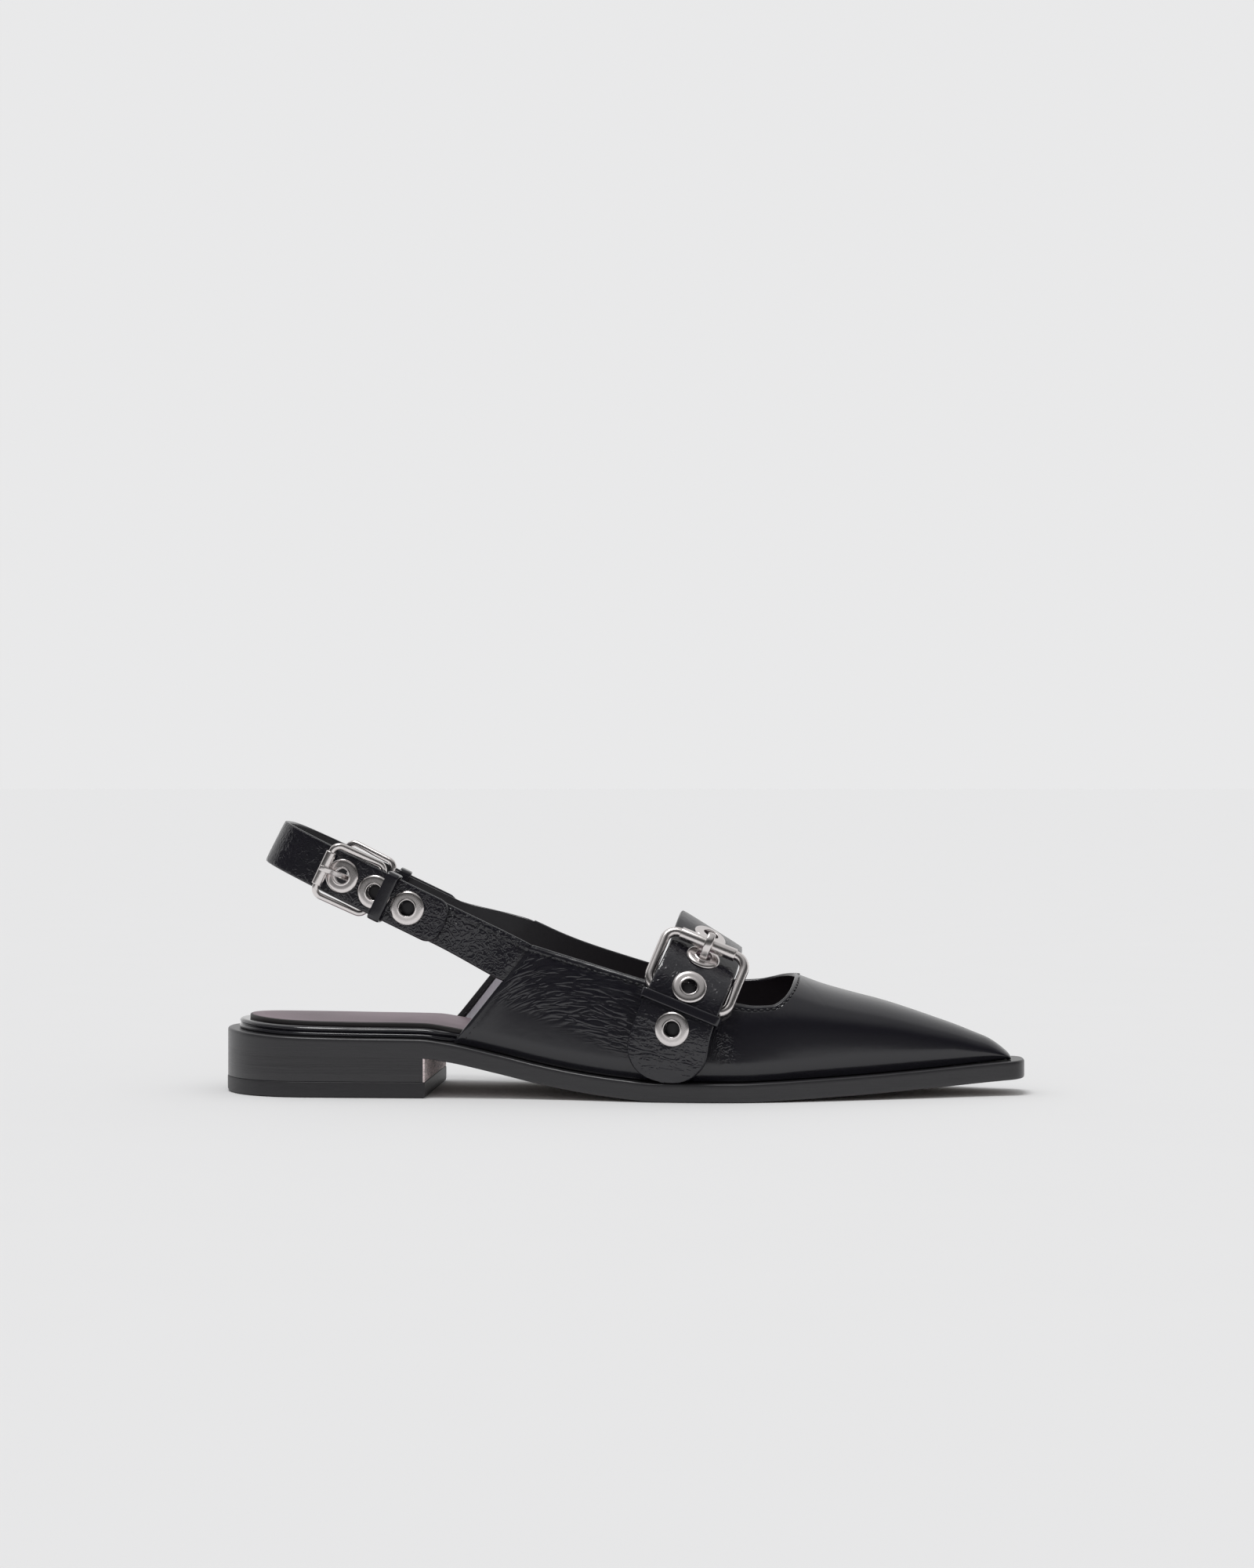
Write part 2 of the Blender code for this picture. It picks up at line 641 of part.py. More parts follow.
class Buckle:
    """Frame with a pivot bar under the strap and a roller over it, and a prong through an eyelet."""

    def __init__(self, prefix, rail, pivot_at, roller_at, strap_half, thickness, wire_radius, roller_radius):
        self.prefix, self.rail, self.face = prefix, rail, thickness / 2
        self.pivot_at, self.roller_at = pivot_at, roller_at
        self.wire_radius, self.roller_radius = wire_radius, roller_radius
        self.pivot = rail.point(pivot_at, -(self.face + 2 * GAP + wire_radius))
        self.crown = rail.point(roller_at, self.face + ROLLER_LIFT + roller_radius)
        self.wide = rail.axes(pivot_at)[3]
        self.half_wide = strap_half + FRAME_ROOM + wire_radius
        self.corner = FRAME_CORNER * wire_radius

    def frame(self):
        middle = (self.pivot + self.crown) / 2
        span = self.crown - self.pivot
        length = np.linalg.norm(span)
        shape = rounded_box(length / 2, self.half_wide, self.corner)
        points = [middle + span / length * a + self.wide * b for a, b in shape]
        wire(f"{self.prefix}_buckle_frame", points, self.wire_radius, cyclic=True)

    def roller(self):
        span = self.crown - self.pivot
        square = span - self.wide * np.dot(self.wide, span)
        square = square / np.linalg.norm(square)
        face = np.cross(square, self.wide)
        reach = self.half_wide - self.corner - ROLLER_END_ROOM
        bore = self.wire_radius + GAP
        turns = np.linspace(0, 2 * math.pi, 13)[:-1]
        rings = []
        rim = [square * math.cos(t) + face * math.sin(t) for t in turns]
        tube = self.roller_radius
        for size, at in ((tube, -reach), (tube, reach), (bore, reach), (bore, -reach)):
            rings.append([self.crown + self.wide * at + direction * size for direction in rim])
        name = f"{self.prefix}_roller"
        add_part(name, loft(name, rings, closed_path=True), "nickel")

    def prong(self, eyelet_at):
        """From the pivot bar under the strap, up through the eyelet and over the roller."""
        radius = PRONG_SHARE * self.wire_radius
        ahead = math.copysign(1.0, self.roller_at - self.pivot_at)
        under = -(self.face + GAP + radius)
        middle = self.face + ROLLER_LIFT + self.roller_radius
        round_roller = self.roller_radius + 1.5 * GAP + radius
        path = [
            (self.pivot_at + ahead * (self.wire_radius + GAP + radius), under - 0.3 * MM),
            (eyelet_at - ahead * 3.6 * MM, under),
            (eyelet_at - ahead * 1.7 * MM, under + 0.8 * MM),
        ]
        for turn in np.radians(np.linspace(PRONG_WRAP[0], PRONG_WRAP[1], 6)):
            over = middle + round_roller * math.sin(turn)
            path.append((self.roller_at + ahead * round_roller * math.cos(turn), over))
        wire(f"{self.prefix}_prong", [self.rail.point(s, depth) for s, depth in path], radius)


def keeper(name, rail, at, half, inner, outer, width):
    """A flat leather loop round the strap and what lies under it."""
    place, along, out, wide = rail.axes(at)
    middle = place + out * (inner + outer) / 2
    deep = (outer - inner) / 2
    hole = rounded_box(half, deep, 0.8 * MM, 2)
    rim = rounded_box(half + KEEPER_THICKNESS, deep + KEEPER_THICKNESS, 1.5 * MM, 2)
    rings = []
    for shape, step in ((rim, -0.5), (rim, 0.5), (hole, 0.5), (hole, -0.5)):
        rings.append([middle + wide * a + out * b + along * width * step for a, b in shape])
    add_part(name, loft(name, rings, closed_path=True), "strap_patent")


def heel_rail():
    """The heel strap's middle from its lateral tip round the heel to its medial tip."""
    turn = np.linspace(0, math.pi, 241)
    power = 2 / STRAP_SQUARENESS
    run = STRAP_REACH * np.sin(turn) ** power
    span = -STRAP_HALF_SPAN * np.sign(np.cos(turn)) * np.abs(np.cos(turn)) ** power
    points = STRAP_START + run[:, None] * along_strap + span[:, None] * np.array((0.0, 1.0, 0.0))
    points[:, 2] -= strap_drop(span)
    lean = STRAP_FALL + STRAP_BACK_LEAN * np.sin(turn) ** 8
    return Rail(points, np.stack((np.sin(lean), np.zeros_like(lean), np.cos(lean)), axis=1))


def sling_at(rail, side, run):
    """Distance along the heel strap's rail of a place measured from the seam on one side."""
    half = rail.at[: len(rail.at) // 2 + 1]
    run_there = (rail.points[: len(half)] - STRAP_START) @ along_strap
    near = float(np.interp(run + SLING_SHIFT[side], run_there, half))
    return near if side == LATERAL else rail.length - near


def heel_strap():
    """The strap round the heel with its eyelets, and on each side a buckle and a keeper."""
    rail = heel_rail()
    first, second = (sling_at(rail, side, STRAP_TIP_AT) for side in (LATERAL, MEDIAL))
    forward = tip_stops(first, rail.length / 2, STRAP_TIP_ROUND)
    backward = rail.length - tip_stops(rail.length - second, rail.length / 2, STRAP_TIP_ROUND)
    stops = np.concatenate((forward, backward[::-1][1:]))
    ends = np.minimum(stops - first, second - stops)
    half = STRAP_WIDTH / 2
    strap = band("heel_strap", rail, stops, half * rounding(ends, STRAP_TIP_ROUND, 0.3), STRAP_THICKNESS)
    pierce(strap, rail, [sling_at(rail, side, run) for side in (LATERAL, MEDIAL) for run in SLING_EYELETS])
    below = -(STRAP_THICKNESS / 2 + GAP + WALL + GAP)
    above = STRAP_THICKNESS / 2 + SLING_KEEPER_ROOM
    for side, word in ((LATERAL, "lateral"), (MEDIAL, "medial")):
        for count, run in enumerate(SLING_EYELETS, 1):
            eyelet(f"sling_eyelet_{word}_{count}", rail, sling_at(rail, side, run), STRAP_THICKNESS)
        made = Buckle(f"sling_{word}", rail, sling_at(rail, side, SLING_PIVOT_AT),
                      sling_at(rail, side, SLING_ROLLER_AT), half, STRAP_THICKNESS, SLING_WIRE, SLING_ROLLER)
        made.frame()
        made.roller()
        made.prong(sling_at(rail, side, SLING_EYELETS[-1]))
        keeper(f"sling_keeper_{word}", rail, sling_at(rail, side, SLING_KEEPER_AT), half + KEEPER_ROOM,
               below, above, SLING_KEEPER_WIDTH)


def instep_rail():
    """The instep strap's middle, a smooth curve through its table, and its half width along it."""
    rough = np.array([(p.x, p.y, p.z) for p in INSTEP])
    knots = np.concatenate(([0.0], np.cumsum(np.linalg.norm(np.diff(rough, axis=0), axis=1))))
    Knot = namedtuple("Knot", "s x y z lean splay half")
    rows = [Knot(k, *p) for k, p in zip(knots, INSTEP)]
    fine = np.linspace(0, knots[-1], 181) * MM
    points = np.stack([through(rows, c, "s")(fine) for c in "xyz"], axis=1) * MM
    for _ in range(INSTEP_EASING):
        points[1:-1] = points[1:-1] * 0.5 + (points[:-2] + points[2:]) * 0.25
    lean = np.radians(through(rows, "lean", "s")(fine))
    splay = np.radians(through(rows, "splay", "s")(fine))
    rail = Rail(points, np.stack((np.cos(lean), np.tan(splay), -np.sin(lean)), axis=1))
    half = through(rows, "half", "s")
    return rail, lambda s: half(np.interp(s, rail.at, fine)) * MM


def buckle_tab(rail, end):
    """Leather that carries the pivot bar: it lies on the upper's side under the strap's free end."""
    reach = np.linspace(BUCKLE_TAB_START, end, 9)
    depth = -(INSTEP_THICKNESS / 2 + GAP + BUCKLE_TAB_THICKNESS / 2)
    points = np.array([rail.point(s, depth) for s in reach])
    across = np.array([rail.axes(s)[3] for s in reach])
    under = Rail(points, across)
    stops = np.linspace(0, under.length, 12)
    band("instep_buckle_tab", under, stops, np.full(len(stops), BUCKLE_TAB_HALF), BUCKLE_TAB_THICKNESS)


def instep_strap():
    """The strap over the instep with its eyelets, its roller buckle, keeper and buckle tab."""
    rail, half = instep_rail()
    stops = tip_stops(0.0, rail.length, INSTEP_TIP_ROUND)
    tip = rounding(stops, INSTEP_TIP_ROUND, 0.25)
    strap = band("instep_strap", rail, stops, half(stops) * tip, INSTEP_THICKNESS)
    holes = [INSTEP_FIRST_EYELET + INSTEP_EYELET_PITCH * k for k in range(INSTEP_EYELETS)]
    pierce(strap, rail, holes)
    for count, s in enumerate(holes, 1):
        eyelet(f"instep_eyelet_{count}", rail, s, INSTEP_THICKNESS)
    pivot_at = holes[0] + INSTEP_PIVOT_AFTER
    made = Buckle("instep", rail, pivot_at, holes[0] + INSTEP_ROLLER_AFTER, float(half(holes[1])),
                  INSTEP_THICKNESS, INSTEP_WIRE, INSTEP_ROLLER)
    made.frame()
    made.roller()
    made.prong(holes[2])
    below = -(INSTEP_THICKNESS / 2 + GAP + BUCKLE_TAB_THICKNESS + GAP)
    keeper("instep_keeper", rail, holes[0] + INSTEP_KEEPER_AFTER, float(half(holes[0])) + KEEPER_ROOM,
           below, INSTEP_THICKNESS / 2 + GAP, INSTEP_KEEPER_WIDTH)
    buckle_tab(rail, pivot_at - INSTEP_WIRE - 3 * GAP)


sole_unit()
upper()
heel_strap()
instep_strap()
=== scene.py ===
"""Looks of a right-foot pointed slingback flat in crinkled black patent: its sole unit, upper, straps,
buckles and eyelets as surfaces worked out on grids, the finish of each, and a plain pale stage.
X runs from heel to toe, Y from the lateral to the medial side, Z up from the floor, all in metres."""
import math
from collections import namedtuple

import bmesh
import bpy
import numpy as np
from bpy.props import FloatProperty, FloatVectorProperty, PointerProperty
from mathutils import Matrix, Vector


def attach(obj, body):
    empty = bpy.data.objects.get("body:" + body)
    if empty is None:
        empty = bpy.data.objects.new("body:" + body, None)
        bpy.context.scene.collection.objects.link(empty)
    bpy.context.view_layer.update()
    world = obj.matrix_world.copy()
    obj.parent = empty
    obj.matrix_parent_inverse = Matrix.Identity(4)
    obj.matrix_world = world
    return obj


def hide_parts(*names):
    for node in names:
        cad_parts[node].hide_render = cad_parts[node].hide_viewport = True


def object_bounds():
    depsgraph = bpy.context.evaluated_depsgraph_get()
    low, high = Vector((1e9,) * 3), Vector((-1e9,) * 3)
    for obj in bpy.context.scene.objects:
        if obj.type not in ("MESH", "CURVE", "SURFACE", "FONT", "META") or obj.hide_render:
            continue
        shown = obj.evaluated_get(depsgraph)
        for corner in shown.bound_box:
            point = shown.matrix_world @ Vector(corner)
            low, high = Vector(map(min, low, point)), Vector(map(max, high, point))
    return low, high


bl_info = {
    "name": "Slingback Shoe",
    "version": (1, 0, 0),
    "blender": (4, 5, 0),
    "location": "View3D > Sidebar > Shoe",
    "description": "Builds the surfaces and finishes of a pointed slingback flat around its solids",
    "category": "Add Mesh",
}

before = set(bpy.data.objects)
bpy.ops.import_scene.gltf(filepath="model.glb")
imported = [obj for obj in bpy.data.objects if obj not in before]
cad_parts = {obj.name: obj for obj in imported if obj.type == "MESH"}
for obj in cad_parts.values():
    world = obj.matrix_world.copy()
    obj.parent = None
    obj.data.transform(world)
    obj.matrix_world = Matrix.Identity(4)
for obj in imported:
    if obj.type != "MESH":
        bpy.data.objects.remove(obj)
cad_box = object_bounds()

MM = 0.001
LATERAL, MEDIAL = -1, 1
SIDES = (LATERAL, MEDIAL)
SIDE_WORD = {LATERAL: "lateral", MEDIAL: "medial"}
HALF = (cad_box[1].x - cad_box[0].x) / 2
CENTRE_SHIFT = 1.7 * MM
GAP = 0.3 * MM

# Sole unit
HEEL_BREAST_X = -64.2 * MM
HEEL_ROUND = 30.0 * MM
TOE_ROUND = 6.0 * MM
HEEL_SQUARENESS = 2.1
TOE_SQUARENESS = 2.7
BREAST_EDGE = 0.35 * MM
CORNER_FADE = 3.0 * MM
INSOLE_INSET = 3.8 * MM
INSOLE_STEP = 3.0 * MM
INSOLE_STEP_RUN = (6, 5)
INSOLE_TOE_X = 112.0 * MM
SOCK_INSET = 7.4 * MM
SOCK_TOE_X = 104.0 * MM
SOCK_PUFF = 0.25
SOCK_CROWN = 0.5
SOCK_RIM = 0.6 * MM

# Upper
UPPER_LIFT = 0.5 * MM
WELT = 3.2 * MM
UNDERCUT = 1.4 * MM
UNDERCUT_HEIGHT = 6.5 * MM
UPPER_TOE_X = 130.5 * MM
TOE_RISE = 9.0 * MM
TOE_BLUNT = 5.0 * MM
TOE_SHARE = 0.66

# The sole along its length: half widths to each side and the height of the underside, in millimetres
Sole = namedtuple("Sole", "x lateral medial under")
SOLE = [
    Sole(-135, 29.5, 29.5, 15.4), Sole(-110, 29.5, 29.5, 13.9), Sole(-90, 29.8, 29.6, 13.5),
    Sole(-66, 29.6, 28.8, 13.2), Sole(-57, 29.5, 28.0, 12.0), Sole(-40, 29.8, 26.4, 8.3),
    Sole(-27, 31.2, 26.0, 5.3), Sole(-14, 33.2, 27.0, 2.9), Sole(1, 36.0, 29.6, 1.0),
    Sole(14, 38.0, 33.0, 0.0), Sole(27, 38.5, 36.3, 0.0), Sole(40, 38.0, 38.3, 0.0),
    Sole(50, 36.2, 38.0, 0.3), Sole(60, 33.6, 36.0, 0.75), Sole(80, 27.3, 29.7, 1.75),
    Sole(101, 19.8, 22.6, 3.1), Sole(118, 13.6, 16.4, 4.4), Sole(128, 10.2, 12.8, 5.1),
    Sole(135, 8.8, 11.2, 5.6),
]

# The last above the sole: ridge height in millimetres, and how square its sections are across and upward
Last = namedtuple("Last", "x ridge across up")
LAST = [
    Last(-80, 98.0, 2.4, 2.1), Last(-60, 92.0, 2.4, 2.1), Last(-30, 84.0, 2.4, 2.1),
    Last(0, 69.0, 2.4, 2.1), Last(20, 57.0, 2.4, 2.1), Last(39, 47.5, 2.5, 2.2),
    Last(50, 43.2, 2.45, 2.8), Last(58.6, 39.7, 2.35, 3.6), Last(68, 36.3, 2.3, 4.2),
    Last(77.5, 33.7, 2.25, 4.4), Last(87, 31.3, 2.2, 4.4), Last(96.4, 28.4, 2.2, 4.2),
    Last(105.8, 25.2, 2.2, 4.0), Last(112.1, 23.0, 2.2, 3.8), Last(118.4, 20.5, 2.2, 3.4),
    Last(124.7, 18.0, 2.2, 3.0), Last(130.5, 15.6, 2.2, 2.8),
]

# Upper edge of the quarters from the strap seam forward to the throat, seen from the side
Edge = namedtuple("Edge", "x z")
TOP_LINE = {
    LATERAL: [
        Edge(-28.9, 50.3), Edge(-17.3, 47.0), Edge(-4.4, 43.2), Edge(11, 38.8), Edge(27, 34.6),
        Edge(40.4, 31.7), Edge(45.3, 31.1), Edge(50.6, 31.3), Edge(54.5, 33.4), Edge(57.2, 36.7),
        Edge(58.6, 39.7),
    ],
    MEDIAL: [
        Edge(-32.0, 56.5), Edge(-17.8, 50.4), Edge(-0.2, 44.4), Edge(11, 41.0), Edge(27, 37.2),
        Edge(38, 36.2), Edge(45.3, 36.6), Edge(50.6, 37.8), Edge(54.5, 39.0), Edge(57.2, 39.6),
        Edge(58.6, 39.7),
    ],
}
SEAM_FOOT_X = {LATERAL: -54.5, MEDIAL: -61.9}

# Stations of the upper: where each one leaves the sole and where it meets the top line or the vamp ridge
Station = namedtuple("Station", "foot top")
STATIONS = [
    Station(-34, -17.3), Station(-14, -4.4), Station(4, 11), Station(22, 27), Station(36, 40.4),
    Station(46, 45.3), Station(55, 50.6), Station(63, 54.5), Station(70, 57.2), Station(77, 58.6),
    Station(86, 65), Station(96, 73), Station(105, 82), Station(113, 91), Station(120, 99),
    Station(125, 105), Station(128.5, 109), Station(130.5, 112),
]
STRAIGHT_STATIONS = 6
THROAT_STATION = 10
FAN_RIDGE = (112, 113.5, 115, 116.5, 118, 119)
TAB_CORNER = 0.64
TAB_EASE = 1.9
TAB_HALF_WIDTH = 6.7 * MM

# Heel strap: it lies on a plane that falls from the back of the heel towards the instep
STRAP_START = np.array((-34.0, 0.0, 45.6)) * MM
STRAP_FALL = math.radians(25.6)
STRAP_BACK_LEAN = math.radians(1.5)
STRAP_MEDIAL_DROP = 2.2 * MM
STRAP_HALF_SPAN = 28.0 * MM
STRAP_REACH = 92.4 * MM
STRAP_SQUARENESS = 3.5
STRAP_TIP_ROUND = 4.5 * MM
STRAP_TIP_AT = 27.0 * MM
SLING_EYELETS = (40.0 * MM, 52.2 * MM, 64.4 * MM)
SLING_PIVOT_AT = 52.9 * MM
SLING_ROLLER_AT = 70.0 * MM
SLING_KEEPER_AT = 48.6 * MM
SLING_KEEPER_ROOM = 1.45 * MM
SLING_KEEPER_WIDTH = 4.2 * MM
SLING_SHIFT = {LATERAL: 0.0, MEDIAL: 4.0 * MM}
SLING_WIRE = 1.1 * MM
SLING_ROLLER = 1.75 * MM

# Instep strap: points of its middle from the free tip over the foot to the far side, in millimetres, with
# the lean and splay of its width in degrees and its half width
Path = namedtuple("Path", "x y z lean splay half")
INSTEP = [
    Path(14.8, -37.2, 7.0, 9, -4, 13.2), Path(15.9, -38.3, 14.0, 11, -5, 13.1),
    Path(18.4, -38.5, 24.6, 18, -7, 12.4), Path(23.6, -35.1, 37.2, 24, -7, 11.8),
    Path(27.9, -22.4, 47.0, 26, -7, 11.6), Path(29.4, -7.4, 53.2, 31, -4, 11.6),
    Path(29.6, 2.0, 54.2, 32, 0, 11.6), Path(29.2, 11.5, 52.2, 31, 2, 11.6),
    Path(27.0, 22.4, 45.6, 28, 8, 11.6), Path(23.0, 30.2, 35.5, 24, 13, 11.6),
    Path(19.0, 32.2, 25.0, 18, 14, 11.6), Path(17.2, 33.0, 14.0, 14, 15, 11.6),
    Path(16.6, 32.2, 8.6, 14, 15, 11.6),
]
INSTEP_EASING = 6
INSTEP_TIP_ROUND = 12.0 * MM
INSTEP_EYELETS = 4
INSTEP_PRONG_EYELET = 3
INSTEP_FIRST_EYELET = 17.6 * MM
INSTEP_EYELET_PITCH = 14.6 * MM
INSTEP_KEEPER_AFTER = 7.5 * MM
INSTEP_KEEPER_WIDTH = 3.2 * MM
INSTEP_PIVOT_AFTER = 11.4 * MM
INSTEP_ROLLER_AFTER = 32.2 * MM
INSTEP_WIRE = 1.6 * MM
INSTEP_ROLLER = 2.15 * MM
BUCKLE_TAB_START = 5.0 * MM
BUCKLE_TAB_THICKNESS = 1.4 * MM
BUCKLE_TAB_HALF = 10.6 * MM

# Buckles, eyelets and keepers
FRAME_ROOM = 0.8 * MM
FRAME_CORNER = 2.6
ROLLER_LIFT = 1.4 * MM
ROLLER_END_ROOM = 0.2 * MM
ROLLER_PLAY = 0.1 * MM
ROLLER_ROUND = 0.35 * MM
PRONG_SHARE = 0.75
PRONG_WRAP = (165.0, 92.0)
PRONG_RISE_BEFORE = (3.6 * MM, 1.7 * MM)
PRONG_RISE = (-0.3 * MM, 0.0, 0.8 * MM)
PRONG_STEPS = 80
PRONG_EASING = 10
PRONG_FLAT = (1.1, 0.75)
PRONG_SQUARENESS = 0.45
EYELET_BARREL = 3.2 * MM
KEEPER_THICKNESS = 1.1 * MM
KEEPER_ROOM = 0.4 * MM
KEEPER_CORNER = 1.2 * MM
KEEPER_SECTION = (0.35, 0.6)

# Fineness of the grids
OUTLINE_STEPS = 190
BREAST_STEPS = 40
FINE = 0.5 * MM
ROUND_SIDES = 24
CAP_STEPS = 6
RING_SIDES = 64
WELD = 1e-6


class ShoeSizes(bpy.types.PropertyGroup):
    """Sizes that a user would change."""

    sole: FloatProperty(name="Sole", description="Thickness of the outsole", default=6.2 * MM, unit="LENGTH")
    top_piece: FloatProperty(
        name="Top piece", description="Height of the heel's lowest lift", default=5.3 * MM, unit="LENGTH")
    insole: FloatProperty(
        name="Insole", description="Thickness of the wrapped insole", default=3.0 * MM, unit="LENGTH")
    sock: FloatProperty(name="Sock", description="Thickness of the sock", default=1.4 * MM, unit="LENGTH")
    wall: FloatProperty(
        name="Wall", description="Thickness of the upper's wall", default=1.6 * MM, unit="LENGTH")
    crinkle: FloatProperty(
        name="Crinkle", description="Depth of the crinkles in the patent", default=0.1 * MM, unit="LENGTH")
    heel_strap: FloatProperty(
        name="Heel strap width", description="Width of the heel strap", default=14.3 * MM, unit="LENGTH")
    heel_strap_thick: FloatProperty(
        name="Heel strap thickness", description="Thickness of the heel strap", default=1.8 * MM,
        unit="LENGTH")
    instep_strap_thick: FloatProperty(
        name="Instep strap thickness", description="Thickness of the instep strap", default=2.0 * MM,
        unit="LENGTH")
    stitch: FloatProperty(name="Stitch", description="Length of one stitch", default=1.5 * MM, unit="LENGTH")
    stitch_pitch: FloatProperty(
        name="Stitch pitch", description="Distance from stitch to stitch", default=2.1 * MM, unit="LENGTH")


class ShoeColours(bpy.types.PropertyGroup):
    """Colours that a user would change."""

    patent: FloatVectorProperty(
        name="Patent", description="Colour under the patent's gloss", default=(0.009, 0.0085, 0.0125),
        subtype="COLOR")
    lining: FloatVectorProperty(
        name="Lining", description="Colour of the lining", default=(0.02, 0.0195, 0.0225), subtype="COLOR")
    facing: FloatVectorProperty(
        name="Facing", description="Colour of the facing inside the back edges", default=(0.82, 0.8, 0.87),
        subtype="COLOR")
    sock: FloatVectorProperty(
        name="Sock", description="Colour of the sock leather", default=(0.245, 0.18, 0.21), subtype="COLOR")
    edge: FloatVectorProperty(
        name="Edge", description="Colour of the painted sole edge", default=(0.024, 0.023, 0.026),
        subtype="COLOR")
    stack: FloatVectorProperty(
        name="Stack", description="Colour of the bare leather at the heel breast",
        default=(0.83, 0.71, 0.71), subtype="COLOR")
    under: FloatVectorProperty(
        name="Under", description="Colour of the sole's underside", default=(0.13, 0.09, 0.07),
        subtype="COLOR")
    nickel: FloatVectorProperty(
        name="Nickel", description="Colour of the polished metal", default=(0.8, 0.76, 0.75), subtype="COLOR")


class StageSettings(bpy.types.PropertyGroup):
    """Camera and light of the plain stage."""

    lens: FloatProperty(name="Lens", description="Focal length", default=67.32, min=1.0)
    turn: FloatProperty(
        name="Turn", description="Turn of the camera round the shoe", default=math.radians(3.5),
        subtype="ANGLE")
    camera: FloatVectorProperty(
        name="Camera", description="Place of the camera", default=(0.06184, -0.99147, 0.104),
        subtype="XYZ", unit="LENGTH")
    floor: FloatVectorProperty(
        name="Floor", description="Colour of the floor", default=(0.815, 0.815, 0.82), subtype="COLOR")
    fill: FloatProperty(name="Fill", description="Brightness of the light from all round", default=0.58)
    overhead: FloatProperty(name="Overhead", description="Mirrored brightness of the ceiling", default=0.42)
    backdrop: FloatProperty(
        name="Backdrop", description="Mirrored brightness of the room behind", default=0.7)
    front: FloatProperty(name="Front", description="Mirrored brightness of the room in front", default=0.03)
    horizon: FloatProperty(name="Horizon", description="Mirrored brightness near the horizon", default=0.13)
    lamp: FloatProperty(name="Lamp", description="Strength of the lamp over the shoe", default=1.3)
    lamp_spread: FloatProperty(
        name="Lamp spread", description="Angle that the lamp fills as the shoe sees it",
        default=math.radians(24.0), subtype="ANGLE")


def sizes():
    """The sizes that the panel holds."""
    return bpy.context.scene.shoe_sizes


def colours():
    """The colours that the panel holds."""
    return bpy.context.scene.shoe_colours


def through(rows, column, scale=1.0, key="x", key_scale=MM):
    """A cubic curve through one column of a table, its slopes the harmonic means of the neighbouring rates,
    or zero where the column turns, so that it never swings past its rows."""
    at = np.array([getattr(r, key) for r in rows], float) * key_scale
    value = np.array([getattr(r, column) for r in rows], float) * scale
    step = np.diff(at)
    rate = np.diff(value) / step
    before, after = 2 * step[1:] + step[:-1], step[1:] + 2 * step[:-1]
    same = rate[:-1] * rate[1:] > 0
    left, right = np.where(same, rate[:-1], 1.0), np.where(same, rate[1:], 1.0)
    mean = (before + after) / (before / left + after / right)
    slope = np.concatenate((rate[:1], np.where(same, mean, 0.0), rate[-1:]))

    def curve(x):
        x = np.clip(np.asarray(x, float), at[0], at[-1])
        k = np.clip(np.searchsorted(at, x, side="right") - 1, 0, len(at) - 2)
        t = (x - at[k]) / step[k]
        return (
            value[k] * (2 * t**3 - 3 * t**2 + 1) + value[k + 1] * (3 * t**2 - 2 * t**3)
            + step[k] * (slope[k] * (t**3 - 2 * t**2 + t) + slope[k + 1] * (t**3 - t**2))
        )

    return curve


def smooth(share):
    """A smooth step: three squares less two cubes of a share held between nought and one."""
    share = np.clip(share, 0, 1)
    return share * share * (3 - 2 * share)


def rounding(distance, radius, squareness=2.0):
    """Quarter of a superellipse that closes an outline towards its end."""
    share = np.clip(distance / radius, 0.0, 1.0)
    return (1.0 - (1.0 - share) ** squareness) ** (1 / squareness)


def unit(vectors):
    """Vectors divided by their lengths."""
    return vectors / np.maximum(np.linalg.norm(vectors, axis=-1, keepdims=True), 1e-12)


def powered(wave, power):
    """A wave raised to a power with its sign kept, which squares or sharpens a round section."""
    return np.sign(wave) * np.abs(wave) ** power


def run_along(points):
    """Distances along a line of points from its first one."""
    return np.concatenate(([0.0], np.cumsum(np.linalg.norm(np.diff(points, axis=0), axis=1))))


def vectors_at(s, at, values):
    """Vectors at distances along a line, straight between those given at its points."""
    return np.stack([np.interp(s, at, values[:, k]) for k in range(3)], axis=-1)


def relaxed(points, rounds):
    """A line whose inner points have moved halfway to the middle of their neighbours, some rounds over."""
    for _ in range(rounds):
        points[1:-1] = points[1:-1] * 0.5 + (points[:-2] + points[2:]) * 0.25
    return points


def noise(u, v, seed):
    """Smooth random heights from -1 to 1: random values on a unit lattice, blended by a quintic step."""
    table = np.random.default_rng(seed).uniform(-1, 1, (256, 256))
    i, j = np.floor(u).astype(int), np.floor(v).astype(int)
    a, b = u - i, v - j
    a = a**3 * (a * (a * 6 - 15) + 10)
    b = b**3 * (b * (b * 6 - 15) + 10)
    low = table[i % 256, j % 256] * (1 - a) + table[(i + 1) % 256, j % 256] * a
    high = table[i % 256, (j + 1) % 256] * (1 - a) + table[(i + 1) % 256, (j + 1) % 256] * a
    return low * (1 - b) + high * b


def crinkle(along, across, length, pitch, seed):
    """Heights of irregular puffed folds: the size of stretched noise, which leaves sharp valleys where it
    crosses zero, its lines bent by slower noise, plus a finer set at half the size."""
    bend = 1.6 * pitch * noise(along / (2.2 * length), across / (2.2 * length), seed + 1)
    broad = np.abs(noise(along / length, (across + bend) / pitch, seed))
    fine = np.abs(noise(along / (0.45 * length), (across + 1.7 * bend) / (0.5 * pitch), seed + 2))
    return broad + 0.45 * fine - 0.45


